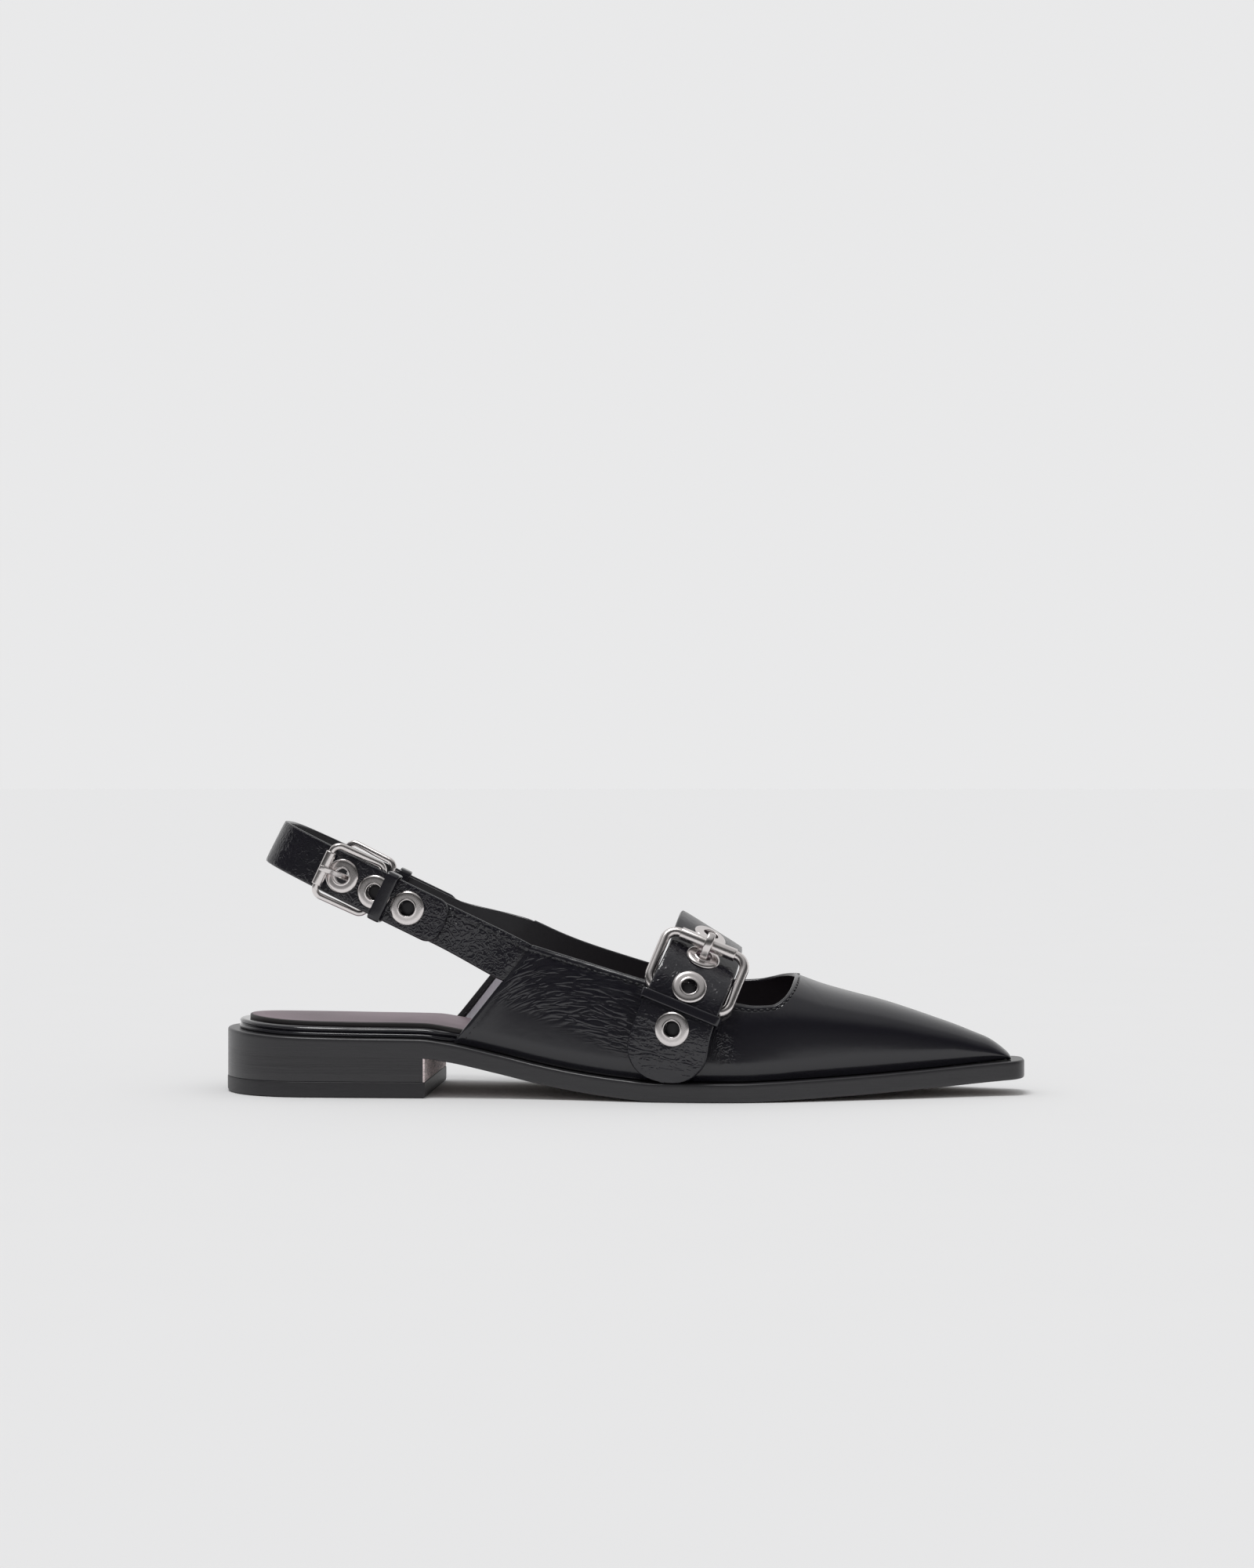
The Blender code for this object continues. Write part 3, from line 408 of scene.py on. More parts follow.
def grid_cells(rows, columns, wrap=False):
    """Corner numbers of the quads of a grid of points kept row by row."""
    index = np.arange(rows * columns).reshape(rows, columns)
    if wrap:
        index = np.concatenate((index, index[:, :1]), axis=1)
    corners = (index[:-1, :-1], index[:-1, 1:], index[1:, 1:], index[1:, :-1])
    return np.stack(corners, axis=-1).reshape(-1, 4)


def quad_normals(points, cells):
    """Normals of quads, each twice as long as its area: the cross products of their diagonals."""
    p = points[cells]
    return np.cross(p[:, 2] - p[:, 0], p[:, 3] - p[:, 1])


def corner_normals(points, cells):
    """Mean of the normals of the quads that meet at each point."""
    total = np.zeros_like(points)
    np.add.at(total, cells, np.repeat(quad_normals(points, cells)[:, None, :], 4, axis=1))
    return unit(total)


def joined(parts):
    """Several meshes as one: their points in a row, and their cells counted on."""
    base = np.cumsum([0] + [len(points) for points, cells in parts])
    return (np.concatenate([points for points, cells in parts]),
            np.concatenate([cells + start for (points, cells), start in zip(parts, base)]))


def shell(outer, inner, cells, bulge, rounds=6):
    """Closed wall between two equal sheets: the outer one, the inner one turned round, and along every free
    edge a rim whose section is half an ellipse. Material numbers are 0, 1 and 2 for the three."""
    count = len(outer)
    start, end = cells.ravel(), np.roll(cells, -1, axis=1).ravel()
    free = ~np.isin(start * count + end, end * count + start)
    owner = np.repeat(np.arange(len(cells)), 4)[free]
    start, end = start[free], end[free]
    push = unit(np.cross(outer[end] - outer[start], quad_normals(outer, cells[owner])))
    away = np.zeros_like(outer)
    np.add.at(away, start, push)
    np.add.at(away, end, push)
    rim = np.unique(start)
    place = np.zeros(count, int)
    place[rim] = np.arange(len(rim))
    middle, half = (outer[rim] + inner[rim]) / 2, (outer[rim] - inner[rim]) / 2
    reach = unit(away[rim]) * np.linalg.norm(half, axis=1, keepdims=True) * bulge
    turns = math.pi * np.arange(1, rounds) / rounds
    rings = [middle + half * math.cos(t) + reach * math.sin(t) for t in turns]
    numbers = [np.arange(count)]
    numbers += [2 * count + k * len(rim) + place for k in range(rounds - 1)]
    numbers.append(count + np.arange(count))
    sides = [np.stack((a[end], a[start], b[start], b[end]), axis=1) for a, b in zip(numbers, numbers[1:])]
    quads = np.concatenate([cells, cells[:, ::-1] + count] + sides)
    kind = np.repeat((0, 1, 2), (len(cells), len(cells), rounds * len(start)))
    return np.concatenate([outer, inner] + rings), quads, kind


def weld(mesh):
    """Merges the points of a mesh that fall together, which closes seams and poles."""
    made = bmesh.new()
    made.from_mesh(mesh)
    bmesh.ops.remove_doubles(made, verts=made.verts, dist=WELD)
    made.to_mesh(mesh)
    made.free()


def piece(name, points, cells, materials, slot, nodes=(), kind=None, fields=None, sharp=55.0):
    """Puts a surface in the scene: welded, shaded smooth, riding on the shoe and standing for its nodes."""
    mesh = bpy.data.meshes.new(name)
    mesh.from_pydata(points + np.array((0.0, CENTRE_SHIFT, 0.0)), [], cells)
    for finish in materials:
        mesh.materials.append(finish)
    if kind is not None:
        mesh.polygons.foreach_set("material_index", kind.astype(np.int32))
    for key, values in (fields or {}).items():
        sort, holder = ("FLOAT", "value") if values.ndim == 1 else ("FLOAT_VECTOR", "vector")
        field = mesh.attributes.new(key, sort, "POINT")
        field.data.foreach_set(holder, values.astype(np.float32).ravel())
    weld(mesh)
    mesh.shade_smooth()
    mesh.set_sharp_from_angle(angle=math.radians(sharp))
    made = bpy.data.objects.new(name, mesh)
    bpy.context.scene.collection.objects.link(made)
    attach(made, "root")
    if nodes:
        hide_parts(*nodes)
    return made


# Sole unit

side_width = {LATERAL: through(SOLE, "lateral", MM), MEDIAL: through(SOLE, "medial", MM)}
sole_under = through(SOLE, "under", MM)


def sole_top(x):
    """Height of the outsole's upper face: its underside plus its thickness."""
    return sole_under(x) + sizes().sole


def insole_top(x):
    """Height of the insole's upper face: the outsole's, a gap and the insole's thickness."""
    return sole_top(x) + GAP + sizes().insole


def insole_inset(x, side):
    """The wrapped rim shows behind the quarters and steps in where the upper passes outside it."""
    before, length = INSOLE_STEP_RUN
    return INSOLE_INSET + INSOLE_STEP * smooth((x / MM - SEAM_FOOT_X[side] + before) / length)


def outline(inset, back, front, square_front=False):
    """Outline of a layer from above, run along the lateral side to the front and back along the medial side,
    and the middle of its width at each point. Half widths are the sole's less an inset, closed at both ends
    by superellipses, with stations that gather towards the ends as a cosine does."""
    if square_front:
        x = front - (front - back) * np.cos(np.linspace(0, math.pi / 2, OUTLINE_STEPS))
    else:
        x = (back + front) / 2 - (front - back) / 2 * np.cos(np.linspace(0, math.pi, OUTLINE_STEPS))
    width = {}
    for side in SIDES:
        width[side] = (side_width[side](x) - inset(x, side)) * rounding(x - back, HEEL_ROUND, HEEL_SQUARENESS)
        if not square_front:
            width[side] = width[side] * rounding(front - x, TOE_ROUND, TOE_SQUARENESS)
    middle = (width[MEDIAL] - width[LATERAL]) / 2
    lateral, medial = np.stack((x, -width[LATERAL]), 1), np.stack((x, width[MEDIAL]), 1)
    if square_front:
        share = np.linspace(0, 1, BREAST_STEPS)[1:-1, None]
        breast = lateral[-1] * (1 - share) + medial[-1] * share
        loop = np.concatenate((lateral, breast, medial[:0:-1]))
        spine = np.concatenate((middle, np.full(len(breast), middle[-1]), middle[:0:-1]))
    else:
        loop = np.concatenate((lateral, medial[-2:0:-1]))
        spine = np.concatenate((middle, middle[-2:0:-1]))
    return loop, spine


def layer(loop, spine, rows):
    """A closed layer: for each row the outline is moved inward by an inset, drawn in across the shoe to a
    share of its width and lifted to a height over a floor that follows the shoe's length."""
    run = np.roll(loop, -1, axis=0) - np.roll(loop, 1, axis=0)
    inward = unit(np.stack((-run[:, 1], run[:, 0]), axis=1))
    rings = []
    for inset, share, base, height in rows:
        at = loop + inward * (inset(loop[:, :1]) if callable(inset) else inset)
        across = spine + (at[:, 1] - spine) * share
        rings.append(np.stack((at[:, 0], across, base(at[:, 0]) + height), axis=1))
    return np.concatenate(rings), grid_cells(len(rows), len(loop), wrap=True)


INNER_SHARES = (0.0, 0.35, 0.7, 0.9, 0.98)


def edge_rows(low, high, bottom, side, top, bottom_inset, top_inset, crown=0.0):
    """Rows of a layer from the middle of its underside round its edge to the middle of its top. The bottom
    and top lists give insets and heights in millimetres from the low and high floors."""
    rows = [(bottom_inset * MM, share, low, 0.0) for share in INNER_SHARES]
    rows += [(inset * MM, 1.0, low, height * MM) for inset, height in bottom + side]
    rows += [(inset * MM, 1.0, high, height * MM) for inset, height in top]
    rim = top[-1][1]
    rows += [(top_inset * MM, s, high, (rim + crown * (1 - s**2)) * MM) for s in INNER_SHARES[::-1]]
    return rows


def no_inset(x, side):
    """The sole's own outline."""
    return np.zeros_like(x)


def build_outsole():
    """The sole's outline carried round a section with a lip above and a corner below, which fades out
    where the heel takes over."""
    loop, spine = outline(no_inset, -HALF, HALF)
    corner = [(0.75, 0.0), (0.42, 0.06), (0.2, 0.2), (0.06, 0.42), (0.0, 0.75)]
    lip = [(0.0, -1.5), (0.0, -0.8), (0.07, -0.45), (0.22, -0.2), (0.45, -0.06), (0.8, 0.0)]
    rows = edge_rows(sole_under, sole_top, [], [(0.0, 1.4)], lip, 1.4, 1.4)

    def ahead_of_heel(inset):
        return lambda x: inset * MM * smooth((x - HEEL_BREAST_X) / CORNER_FADE + 0.5)

    inner = len(INNER_SHARES)
    rows[inner:inner] = [(ahead_of_heel(inset), 1.0, sole_under, height * MM) for inset, height in corner]
    points, cells = layer(loop, spine, rows)
    kind = np.repeat(np.arange(len(rows) - 1) < inner, len(loop)).astype(int)
    finishes = [edge_paint(), under_leather()]
    piece("outsole_leather", points, cells, finishes, "edge_leather", ["outsole"], kind)


def build_heel():
    """The sole's outline behind the breast carried up to the sole, and a lift under it that swells a
    little past it."""
    low = sizes().top_piece

    def lift(x):
        return np.full_like(x, low)

    def ground(x):
        return np.zeros_like(x)

    loop, spine = outline(no_inset, -HALF, HEEL_BREAST_X, square_front=True)
    corner = [(0.3, 0.0), (0.1, 0.07), (0.0, 0.25)]
    rim = [(0.0, -0.25), (0.0, 0.0)]
    points, cells = layer(loop, spine, edge_rows(lift, sole_under, corner, [(0.0, 3.0)], rim, 0.6, 0.6))
    middle = points[cells].mean(axis=1)
    bare = (middle[:, 0] > HEEL_BREAST_X - BREAST_EDGE).astype(int)
    piece("heel_stack", points, cells, [stack_paint(), bare_stack()], "heel_leather", ["heel_block"], bare)
    foot = [(0.9, 0.0), (0.5, 0.08), (0.22, 0.26), (0.05, 0.55), (-0.08, 0.95)]
    shoulder = [(-0.12, -0.6), (-0.1, -0.25), (-0.02, -0.08), (0.2, -0.01)]
    rows = edge_rows(ground, lift, foot, [(-0.12, 2.4)], shoulder, 1.4, 0.8)
    points, cells = layer(loop, spine, rows)
    piece("heel_lift", points, cells, [lift_rubber()], "top_piece", ["heel_top_piece"])


def build_footbed():
    """The insole, whose section is a bead over a rounded rim, and on it the sock, gently crowned."""
    loop, spine = outline(insole_inset, -HALF + INSOLE_INSET, INSOLE_TOE_X)
    lower = [(0.7, 0.0), (0.3, 0.12), (0.06, 0.42), (0.0, 0.8), (0.08, 1.15), (0.34, 1.4), (0.72, 1.5)]
    upper = [(0.42, -1.35), (0.2, -1.05), (0.14, -0.75), (0.24, -0.52), (0.4, -0.36), (0.62, -0.16),
             (0.9, 0.0), (1.4, 0.08), (2.2, 0.1)]
    rows = edge_rows(sole_top, insole_top, lower, [], upper, 1.6, 2.8)
    points, cells = layer(loop, spine, rows)
    piece("insole_wrap", points, cells, [wrap_patent()], "wrap_patent", ["insole"])
    loop, spine = outline(lambda x, side: np.full_like(x, SOCK_INSET), -HALF + SOCK_INSET, SOCK_TOE_X)
    thick = sizes().sock / MM + SOCK_PUFF
    side = [(0.1, 0.0), (0.0, 0.2), (0.0, 0.7 * thick)]
    top = [(0.12, 0.86), (0.4, 0.96), (0.9, 1.0), (1.6, 1.02), (3.0, 1.04)]
    top = [(inset, share * thick) for inset, share in top]
    rows = edge_rows(insole_top, insole_top, side, [], top, 0.8, 5.0, SOCK_CROWN)
    points, cells = layer(loop, spine, rows)
    dark = np.array([float(share == 1.0 and inset < SOCK_RIM) for inset, share, base, height in rows])
    piece("sock_leather", points, cells, [sock_leather()], "sock_leather", ["sock"],
          fields={"rim": np.repeat(dark, len(loop))})


# Upper

ridge_line = through(LAST, "ridge", MM)
across_power = through(LAST, "across")
up_power = through(LAST, "up")
top_line = {side: through(TOP_LINE[side], "z", MM) for side in SIDES}


def upper_foot(x):
    """Height at which the upper leaves the sole."""
    return sole_top(x) + UPPER_LIFT


def last_height(x):
    """Height of the last's ridge over the sole, closed round at the toe."""
    return (ridge_line(x) - upper_foot(x)) * rounding(UPPER_TOE_X - x, TOE_RISE)


def last_width(x, side):
    """Half width of the last: the sole's less its welt, drawn in at the blunt toe."""
    blunt = TOE_SHARE + (1 - TOE_SHARE) * rounding(UPPER_TOE_X - x, TOE_BLUNT)
    return (side_width[side](x) - WELT) * blunt


def on_last(x, turn, side):
    """Point of the last: turn runs from 0 at the sole to a quarter circle at the ridge, each section a
    superellipse drawn in near the sole."""
    height = last_height(x)
    rise = height * np.sin(turn) ** (2 / up_power(x))
    reach = last_width(x, side) * np.maximum(np.cos(turn), 0.0) ** (2 / across_power(x))
    tuck_height = np.maximum(np.minimum(UNDERCUT_HEIGHT, 0.5 * height), WELD)
    tuck = np.clip(1 - rise / tuck_height, 0, 1) ** 2
    return np.stack((x, side * np.maximum(reach - UNDERCUT * tuck, 0), upper_foot(x) + rise), axis=-1)


def turn_at(x, z):
    """Turn of the last's section at a height above the floor."""
    share = np.clip((z - upper_foot(x)) / np.maximum(last_height(x), WELD), 0, 1)
    return np.arcsin(share ** (up_power(x) / 2))


def upper_point(side, station, row):
    """Outer point of the upper at a station counted from the strap seam and a row from sole to top edge. The
    turn blends from a straight line on the quarter to even steps round the vamp."""
    table = [Station(SEAM_FOOT_X[side], TOP_LINE[side][0].x)] + STATIONS
    Mark = namedtuple("Mark", "n foot top")
    marks = [Mark(n, s.foot, s.top) for n, s in enumerate(table)]
    foot = through(marks, "foot", MM, "n", 1.0)(station)
    top = through(marks, "top", MM, "n", 1.0)(station)
    x = foot + (top - foot) * row
    behind = station < THROAT_STATION
    height = np.where(behind, top_line[side](top), ridge_line(top))
    straight = turn_at(x, upper_foot(foot) * (1 - row) + height * row)
    even = np.where(behind, turn_at(top, height), math.pi / 2) * row
    share = smooth(station / STRAIGHT_STATIONS)
    return on_last(x, straight * (1 - share) + even * share, side)


def toe_point(side, fan, row):
    """Outer point of the toe, whose columns fan from the blunt tip to the ridge."""
    ridge = np.interp(fan, np.linspace(0, 1, len(FAN_RIDGE)), FAN_RIDGE) * MM
    x = UPPER_TOE_X + (ridge - UPPER_TOE_X) * row
    begin = math.pi / 2 * fan
    return on_last(x, begin + (math.pi / 2 - begin) * row, side)


along_strap = np.array((-math.cos(STRAP_FALL), 0.0, math.sin(STRAP_FALL)))
strap_up = np.array((math.sin(STRAP_FALL), 0.0, math.cos(STRAP_FALL)))


def strap_span(run):
    """Half span of the heel strap's loop at a distance along its plane."""
    share = np.clip(run / STRAP_REACH, 0, 1)
    return STRAP_HALF_SPAN * (1 - share**STRAP_SQUARENESS) ** (1 / STRAP_SQUARENESS)


def strap_drop(y):
    """How far the strap hangs under its plane: nothing on the lateral side, its drop on the medial side."""
    return STRAP_MEDIAL_DROP * (0.5 + 0.5 * y / STRAP_HALF_SPAN)


def in_strap_plane(x, z):
    """Distances along the heel strap's plane and above it."""
    run = (x - STRAP_START[0]) * along_strap[0] + (z - STRAP_START[2]) * along_strap[2]
    rise = (x - STRAP_START[0]) * strap_up[0] + (z - STRAP_START[2]) * strap_up[2]
    return run, rise


def tab_point(side, part, share):
    """Outer point of the tab behind the seam: part runs from the seam to the tab's end, share from its lower
    to its upper edge, easing from the quarter to just inside the heel strap."""
    top = np.array((TOP_LINE[side][0].x, TOP_LINE[side][0].z)) * MM
    foot_x = SEAM_FOOT_X[side] * MM
    foot = np.array((foot_x, float(upper_foot(foot_x))))
    run_low, rise_low = in_strap_plane(*(foot + (top - foot) * TAB_CORNER))
    run_high, rise_high = in_strap_plane(*top)
    end = SLING_PIVOT_AT + SLING_SHIFT[side] - SLING_WIRE - GAP
    run = (run_low + (end - run_low) * part) * (1 - share) + (run_high + (end - run_high) * part) * share
    ease = smooth(part * TAB_EASE)
    low = rise_low * (1 - ease) - TAB_HALF_WIDTH * ease
    straight = np.minimum(part * TAB_EASE, 1.0)
    high = rise_high * (1 - straight) + TAB_HALF_WIDTH * straight
    up = low * (1 - share) + high * share
    flat = STRAP_START + run[..., None] * along_strap + up[..., None] * strap_up
    seat = np.abs(on_last(flat[..., 0], turn_at(flat[..., 0], flat[..., 2]), side)[..., 1])
    loop = strap_span(run) - sizes().heel_strap_thick / 2 - GAP
    across = side * (seat * (1 - ease) + loop * ease)
    return np.stack((flat[..., 0], across, flat[..., 2] - strap_drop(side * loop) * ease), axis=-1)


# Grid of the upper, in steps along it and rows up it below and beside the tab
QUARTER_STEPS = 220
VAMP_STEPS = 66
TOE_STEPS = 24
TAB_STEPS = 70
ROWS_BELOW = 30
ROWS_ON = 32
ROW_GATHER = 1.6
TAB_STEP = 0.005

# Crinkles: length and pitch of the folds in millimetres, and the seed of their noise
Crinkle = namedtuple("Crinkle", "length pitch seed")
QUARTER_FOLDS = {LATERAL: Crinkle(8.0, 2.6, 11), MEDIAL: Crinkle(8.0, 2.6, 31)}
TAB_NET = {LATERAL: Crinkle(3.0, 2.0, 91), MEDIAL: Crinkle(3.0, 2.0, 111)}
HEEL_STRAP_NET = Crinkle(3.0, 2.0, 131)
TIP_FOLDS = Crinkle(9.0, 2.4, 151)
TAB_DEPTH = 0.4
HEEL_STRAP_DEPTH = 0.3
TIP_DEPTH = 1.4
PLAIN_NET = 0.3

# Where the leather is crinkled and how the upper's folds run, in millimetres; a fade gives its end and length
PATCH_AT, PATCH_SIZE = (35, 20), (4.5, 6)
FOLD_LINE_AT, FOLD_LINE_FALL, FOLD_FADE = (-36, 32), 0.41, 7
QUARTER_FADE, THROAT_FADE, THROAT_WAVE = (30, 12), (62, 12), 0.3
TIP_FADE, TIP_MARGIN, LOWER_FADE = (16, 9), 3, (30, 12)
FOLD_CREST_X = -19.0
FOLD_BEND = (0.018, 0.006)
UPRIGHT_FROM, UPRIGHT_LEAN = 28, 0.3
FOLD_MARGIN = 2.5 * MM

# Ripples beside a turned edge: height, distance from the edge and size, in millimetres
Ripple = namedtuple("Ripple", "height at size")
EDGE_RIPPLES = [Ripple(0.08, 1.2, 0.7), Ripple(-0.12, 2.1, 0.4), Ripple(-0.25, 0.0, 0.5)]

# Back edge of the quarter: places counted in stations, the groove as a share of the tab's length
FACING = (0.08, 0.4)
BACK_STITCH, BACK_STITCH_SIZE, BACK_STITCH_DIP = 0.11, 0.02, 0.15 * MM
BACK_LIP, BACK_LIP_SIZE = 0.4 * MM, 0.35
BACK_PLAIN = 0.15
SEAM_GROOVE, SEAM_GROOVE_DEPTH = 0.03, 0.45 * MM


def falling(x, end, length):
    """A smooth step down to nought at its end, over a length."""
    return smooth((end - x) / length)


def bell(distance, size):
    """A bell curve of a distance: one in the middle, falling as the square's exponential."""
    return np.exp(-((distance / size) ** 2))


def keeper_patch(points):
    """A round patch of fine crinkles in front of the strap's keeper."""
    x, z = points[..., 0] / MM, points[..., 2] / MM
    return bell(x - PATCH_AT[0], PATCH_SIZE[0]) * bell(z - PATCH_AT[1], PATCH_SIZE[1])


def wave_mask(points):
    """Where the upper is folded: on the quarter above a line that falls towards the strap, and faintly
    along the throat."""
    x, z = points[..., 0] / MM, points[..., 2] / MM
    above = z - FOLD_LINE_AT[1] + (x - FOLD_LINE_AT[0]) * FOLD_LINE_FALL
    quarter = smooth(above / FOLD_FADE + 0.5) * falling(x, *QUARTER_FADE)
    throat = THROAT_WAVE * smooth((x - 20) / 15) * falling(x, *THROAT_FADE) * smooth((z - 20) / 8)
    return np.clip(quarter + throat, 0, 1)


def fold_places(points):
    """Distances in millimetres along and across the folds of the upper: they arch over a crest behind the
    strap, as parabolas do, and stand upright in front of the strap."""
    x, z = points[..., 0] / MM, points[..., 2] / MM
    behind, ahead = np.minimum(x - FOLD_CREST_X, 0), np.maximum(x - FOLD_CREST_X, 0)
    arched = z + FOLD_BEND[0] * behind**2 + FOLD_BEND[1] * ahead**2
    upright = smooth((x - UPRIGHT_FROM) / 6)
    along = x * (1 - upright) + z * upright
    across = arched * (1 - upright) + (x + UPRIGHT_LEAN * z) * upright
    return np.stack((along, across, np.zeros_like(x)), axis=-1)


def rolled_edge(distance):
    """Outward relief beside a turned edge, a sum of bell curves: it rounds off at the edge, swells over the
    fold and dips where the stitches pull it down."""
    return MM * sum(r.height * bell(distance / MM - r.at, r.size) for r in EDGE_RIPPLES)


def spread(values, points):
    """Values of an outer sheet, with zero for the wall's other points."""
    return np.concatenate((values, np.zeros((len(points) - len(values), *values.shape[1:]))))


def build_upper():
    """Both halves of the upper as grids from the seam to the toe with the tabs behind, joined along the
    ridge, lifted by the crinkles, edges and seams along their normals, and given a wall."""
    tab_rows = 1 - np.linspace(1, 0, ROWS_ON + 1) ** ROW_GATHER
    below = np.linspace(0, TAB_CORNER, ROWS_BELOW + 1)[:-1]
    rows = np.concatenate((below, TAB_CORNER + (1 - TAB_CORNER) * tab_rows))
    quarter = np.linspace(0, THROAT_STATION, QUARTER_STEPS + 1)
    vamp = np.linspace(THROAT_STATION, len(STATIONS), VAMP_STEPS + 1)[1:]
    station = np.concatenate((quarter, vamp))
    fan = np.linspace(0, 1, TOE_STEPS + 1)[1:]
    part = np.concatenate(([TAB_STEP], np.linspace(TAB_STEP, 1, TAB_STEPS + 1)[1:]))
    depth = sizes().crinkle
    points, cells, relief, wave, craze, grain, facing, base = [], [], [], [], [], [], [], 0
    for side in SIDES:
        body = upper_point(side, station[:, None], rows[None, :])
        height = np.linalg.norm(body[:, -1] - body[:, 0], axis=1)[:, None]
        margin = (1 - rows[None, :]) * height
        body_wave, body_grain = wave_mask(body) * smooth(margin / FOLD_MARGIN), fold_places(body)
        body_wave = body_wave * smooth(station / BACK_PLAIN)[:, None]
        folds = crinkle(body_grain[..., 0], body_grain[..., 1], *QUARTER_FOLDS[side])
        open_edge = (station < THROAT_STATION + 0.01)[:, None]
        back_edge = BACK_LIP * bell(station, BACK_LIP_SIZE)
        back_edge = back_edge - BACK_STITCH_DIP * bell(station - BACK_STITCH, BACK_STITCH_SIZE)
        body_relief = depth * body_wave * folds + back_edge[:, None] + open_edge * rolled_edge(margin)
        toe = toe_point(side, fan[:, None], rows[None, :])
        tab = tab_point(side, part[:, None], tab_rows[None, :])
        run, rise = in_strap_plane(tab[..., 0], tab[..., 2])
        tab_grain = np.stack((run, rise, 0 * run), axis=-1) / MM
        net = crinkle(tab_grain[..., 0], tab_grain[..., 1], *TAB_NET[side])
        groove = bell(part[:, None], SEAM_GROOVE) + 0 * net
        tab_relief = TAB_DEPTH * depth * net - SEAM_GROOVE_DEPTH * groove
        tab_relief = tab_relief + rolled_edge((1 - tab_rows[None, :]) * 2 * TAB_HALF_WIDTH)
        sheet = np.concatenate((body, toe))
        count = sheet.shape[0] * sheet.shape[1]
        body_cells = grid_cells(*sheet.shape[:2])
        seam = np.arange(ROWS_BELOW, ROWS_BELOW + ROWS_ON + 1)
        behind = count + np.arange(tab[..., 0].size).reshape(tab.shape[:2])
        index = np.concatenate((seam[None, :], behind))
        corners = (index[1:, :-1], index[:-1, :-1], index[:-1, 1:], index[1:, 1:])
        tab_cells = np.stack(corners, axis=-1).reshape(-1, 4)
        both = np.concatenate((body_cells[:, [0, 3, 2, 1]], tab_cells))
        column = np.arange(len(sheet) - 1)[:, None]
        near, far = np.searchsorted(station, FACING)
        back = (column >= near) & (column < far)
        low = (np.arange(len(rows) - 1) < ROWS_BELOW)[None, :]
        facing += [(back & low).ravel(), np.zeros(len(tab_cells), bool)]
        cells.append(base + (both if side == LATERAL else both[:, ::-1]))
        points += [sheet.reshape(-1, 3), tab.reshape(-1, 3)]
        relief += [body_relief.ravel(), np.zeros(toe[..., 0].size), tab_relief.ravel()]
        wave += [body_wave.ravel(), np.zeros(toe[..., 0].size + tab_relief.size)]
        craze += [keeper_patch(sheet).ravel(), (1 - groove).ravel()]
        grain += [body_grain.reshape(-1, 3), fold_places(toe).reshape(-1, 3), tab_grain.reshape(-1, 3)]
        base += count + tab[..., 0].size
    points, cells, relief = np.concatenate(points), np.concatenate(cells), np.concatenate(relief)
    snapped = np.round(points / (2 * WELD)) + 0.0
    kept, number = np.unique(snapped, axis=0, return_index=True, return_inverse=True)[1:]
    fields = {"wave": wave, "craze": craze, "grain": grain}
    fields = {key: np.concatenate(values)[kept] for key, values in fields.items()}
    points, relief, cells = points[kept], relief[kept], number.ravel()[cells]
    cells = cells[:, [0, 3, 2, 1]] if outward_share(points, cells) < 0.5 else cells
    normal = corner_normals(points, cells)
    outer = points + normal * relief[:, None]
    inner = points - normal * sizes().wall
    inner[:, 2] = np.maximum(inner[:, 2], upper_foot(inner[:, 0]))
    made, quads, kind = shell(outer, inner, cells, bulge=0.55)
    kind[len(cells):2 * len(cells)][np.concatenate(facing)] = 3
    finishes = [patent("upper_patent"), lining(), patent("upper_patent"), grey_facing()]
    piece("upper_leather", made, quads, finishes, "upper_patent", ["upper"], kind,
          {key: spread(values, made) for key, values in fields.items()})


def outward_share(points, cells):
    """Share of quads that face away from the shoe's middle line."""
    return np.mean(quad_normals(points, cells)[:, 1] * points[cells].mean(axis=1)[:, 1] > 0)


# Straps

RAIL_STEP = 0.4 * MM
HEEL_RAIL_STEPS = 1201
INSTEP_RAIL_STEPS = 181


class Rail:
    """A strap's middle line: even distances along it, its outward side and its width direction."""

    def __init__(self, points, across):
        self.points, self.across, self.at = points, unit(across), run_along(points)
        self.length = self.at[-1]

    def axes(self, s):
        """Places and the directions along, outward and across at distances along."""
        s = np.asarray(s, float)
        before, here, after = (
            vectors_at(at, self.at, self.points)
            for at in (np.maximum(s - RAIL_STEP, 0), s, np.minimum(s + RAIL_STEP, self.length)))
        along = unit(after - before)
        wide = vectors_at(s, self.at, self.across)
        wide = unit(wide - along * np.sum(wide * along, axis=-1, keepdims=True))
        return here, along, unit(np.cross(wide, along)), wide

    def point(self, s, depth, side=0.0):
        place, along, out, wide = self.axes(s)
        return place + out * np.asarray(depth)[..., None] + wide * np.asarray(side)[..., None]


def heel_rail():
    """The heel strap's middle from its lateral tip round the heel to its medial tip, a superellipse."""
    turn = np.linspace(0, math.pi, HEEL_RAIL_STEPS)
    power = 2 / STRAP_SQUARENESS
    run = STRAP_REACH * np.sin(turn) ** power
    span = -STRAP_HALF_SPAN * powered(np.cos(turn), power)
    points = STRAP_START + run[:, None] * along_strap + span[:, None] * np.array((0.0, 1.0, 0.0))
    points[:, 2] -= strap_drop(span)
    lean = STRAP_FALL + STRAP_BACK_LEAN * np.sin(turn) ** 8
    return Rail(points, np.stack((np.sin(lean), np.zeros_like(lean), np.cos(lean)), axis=1))


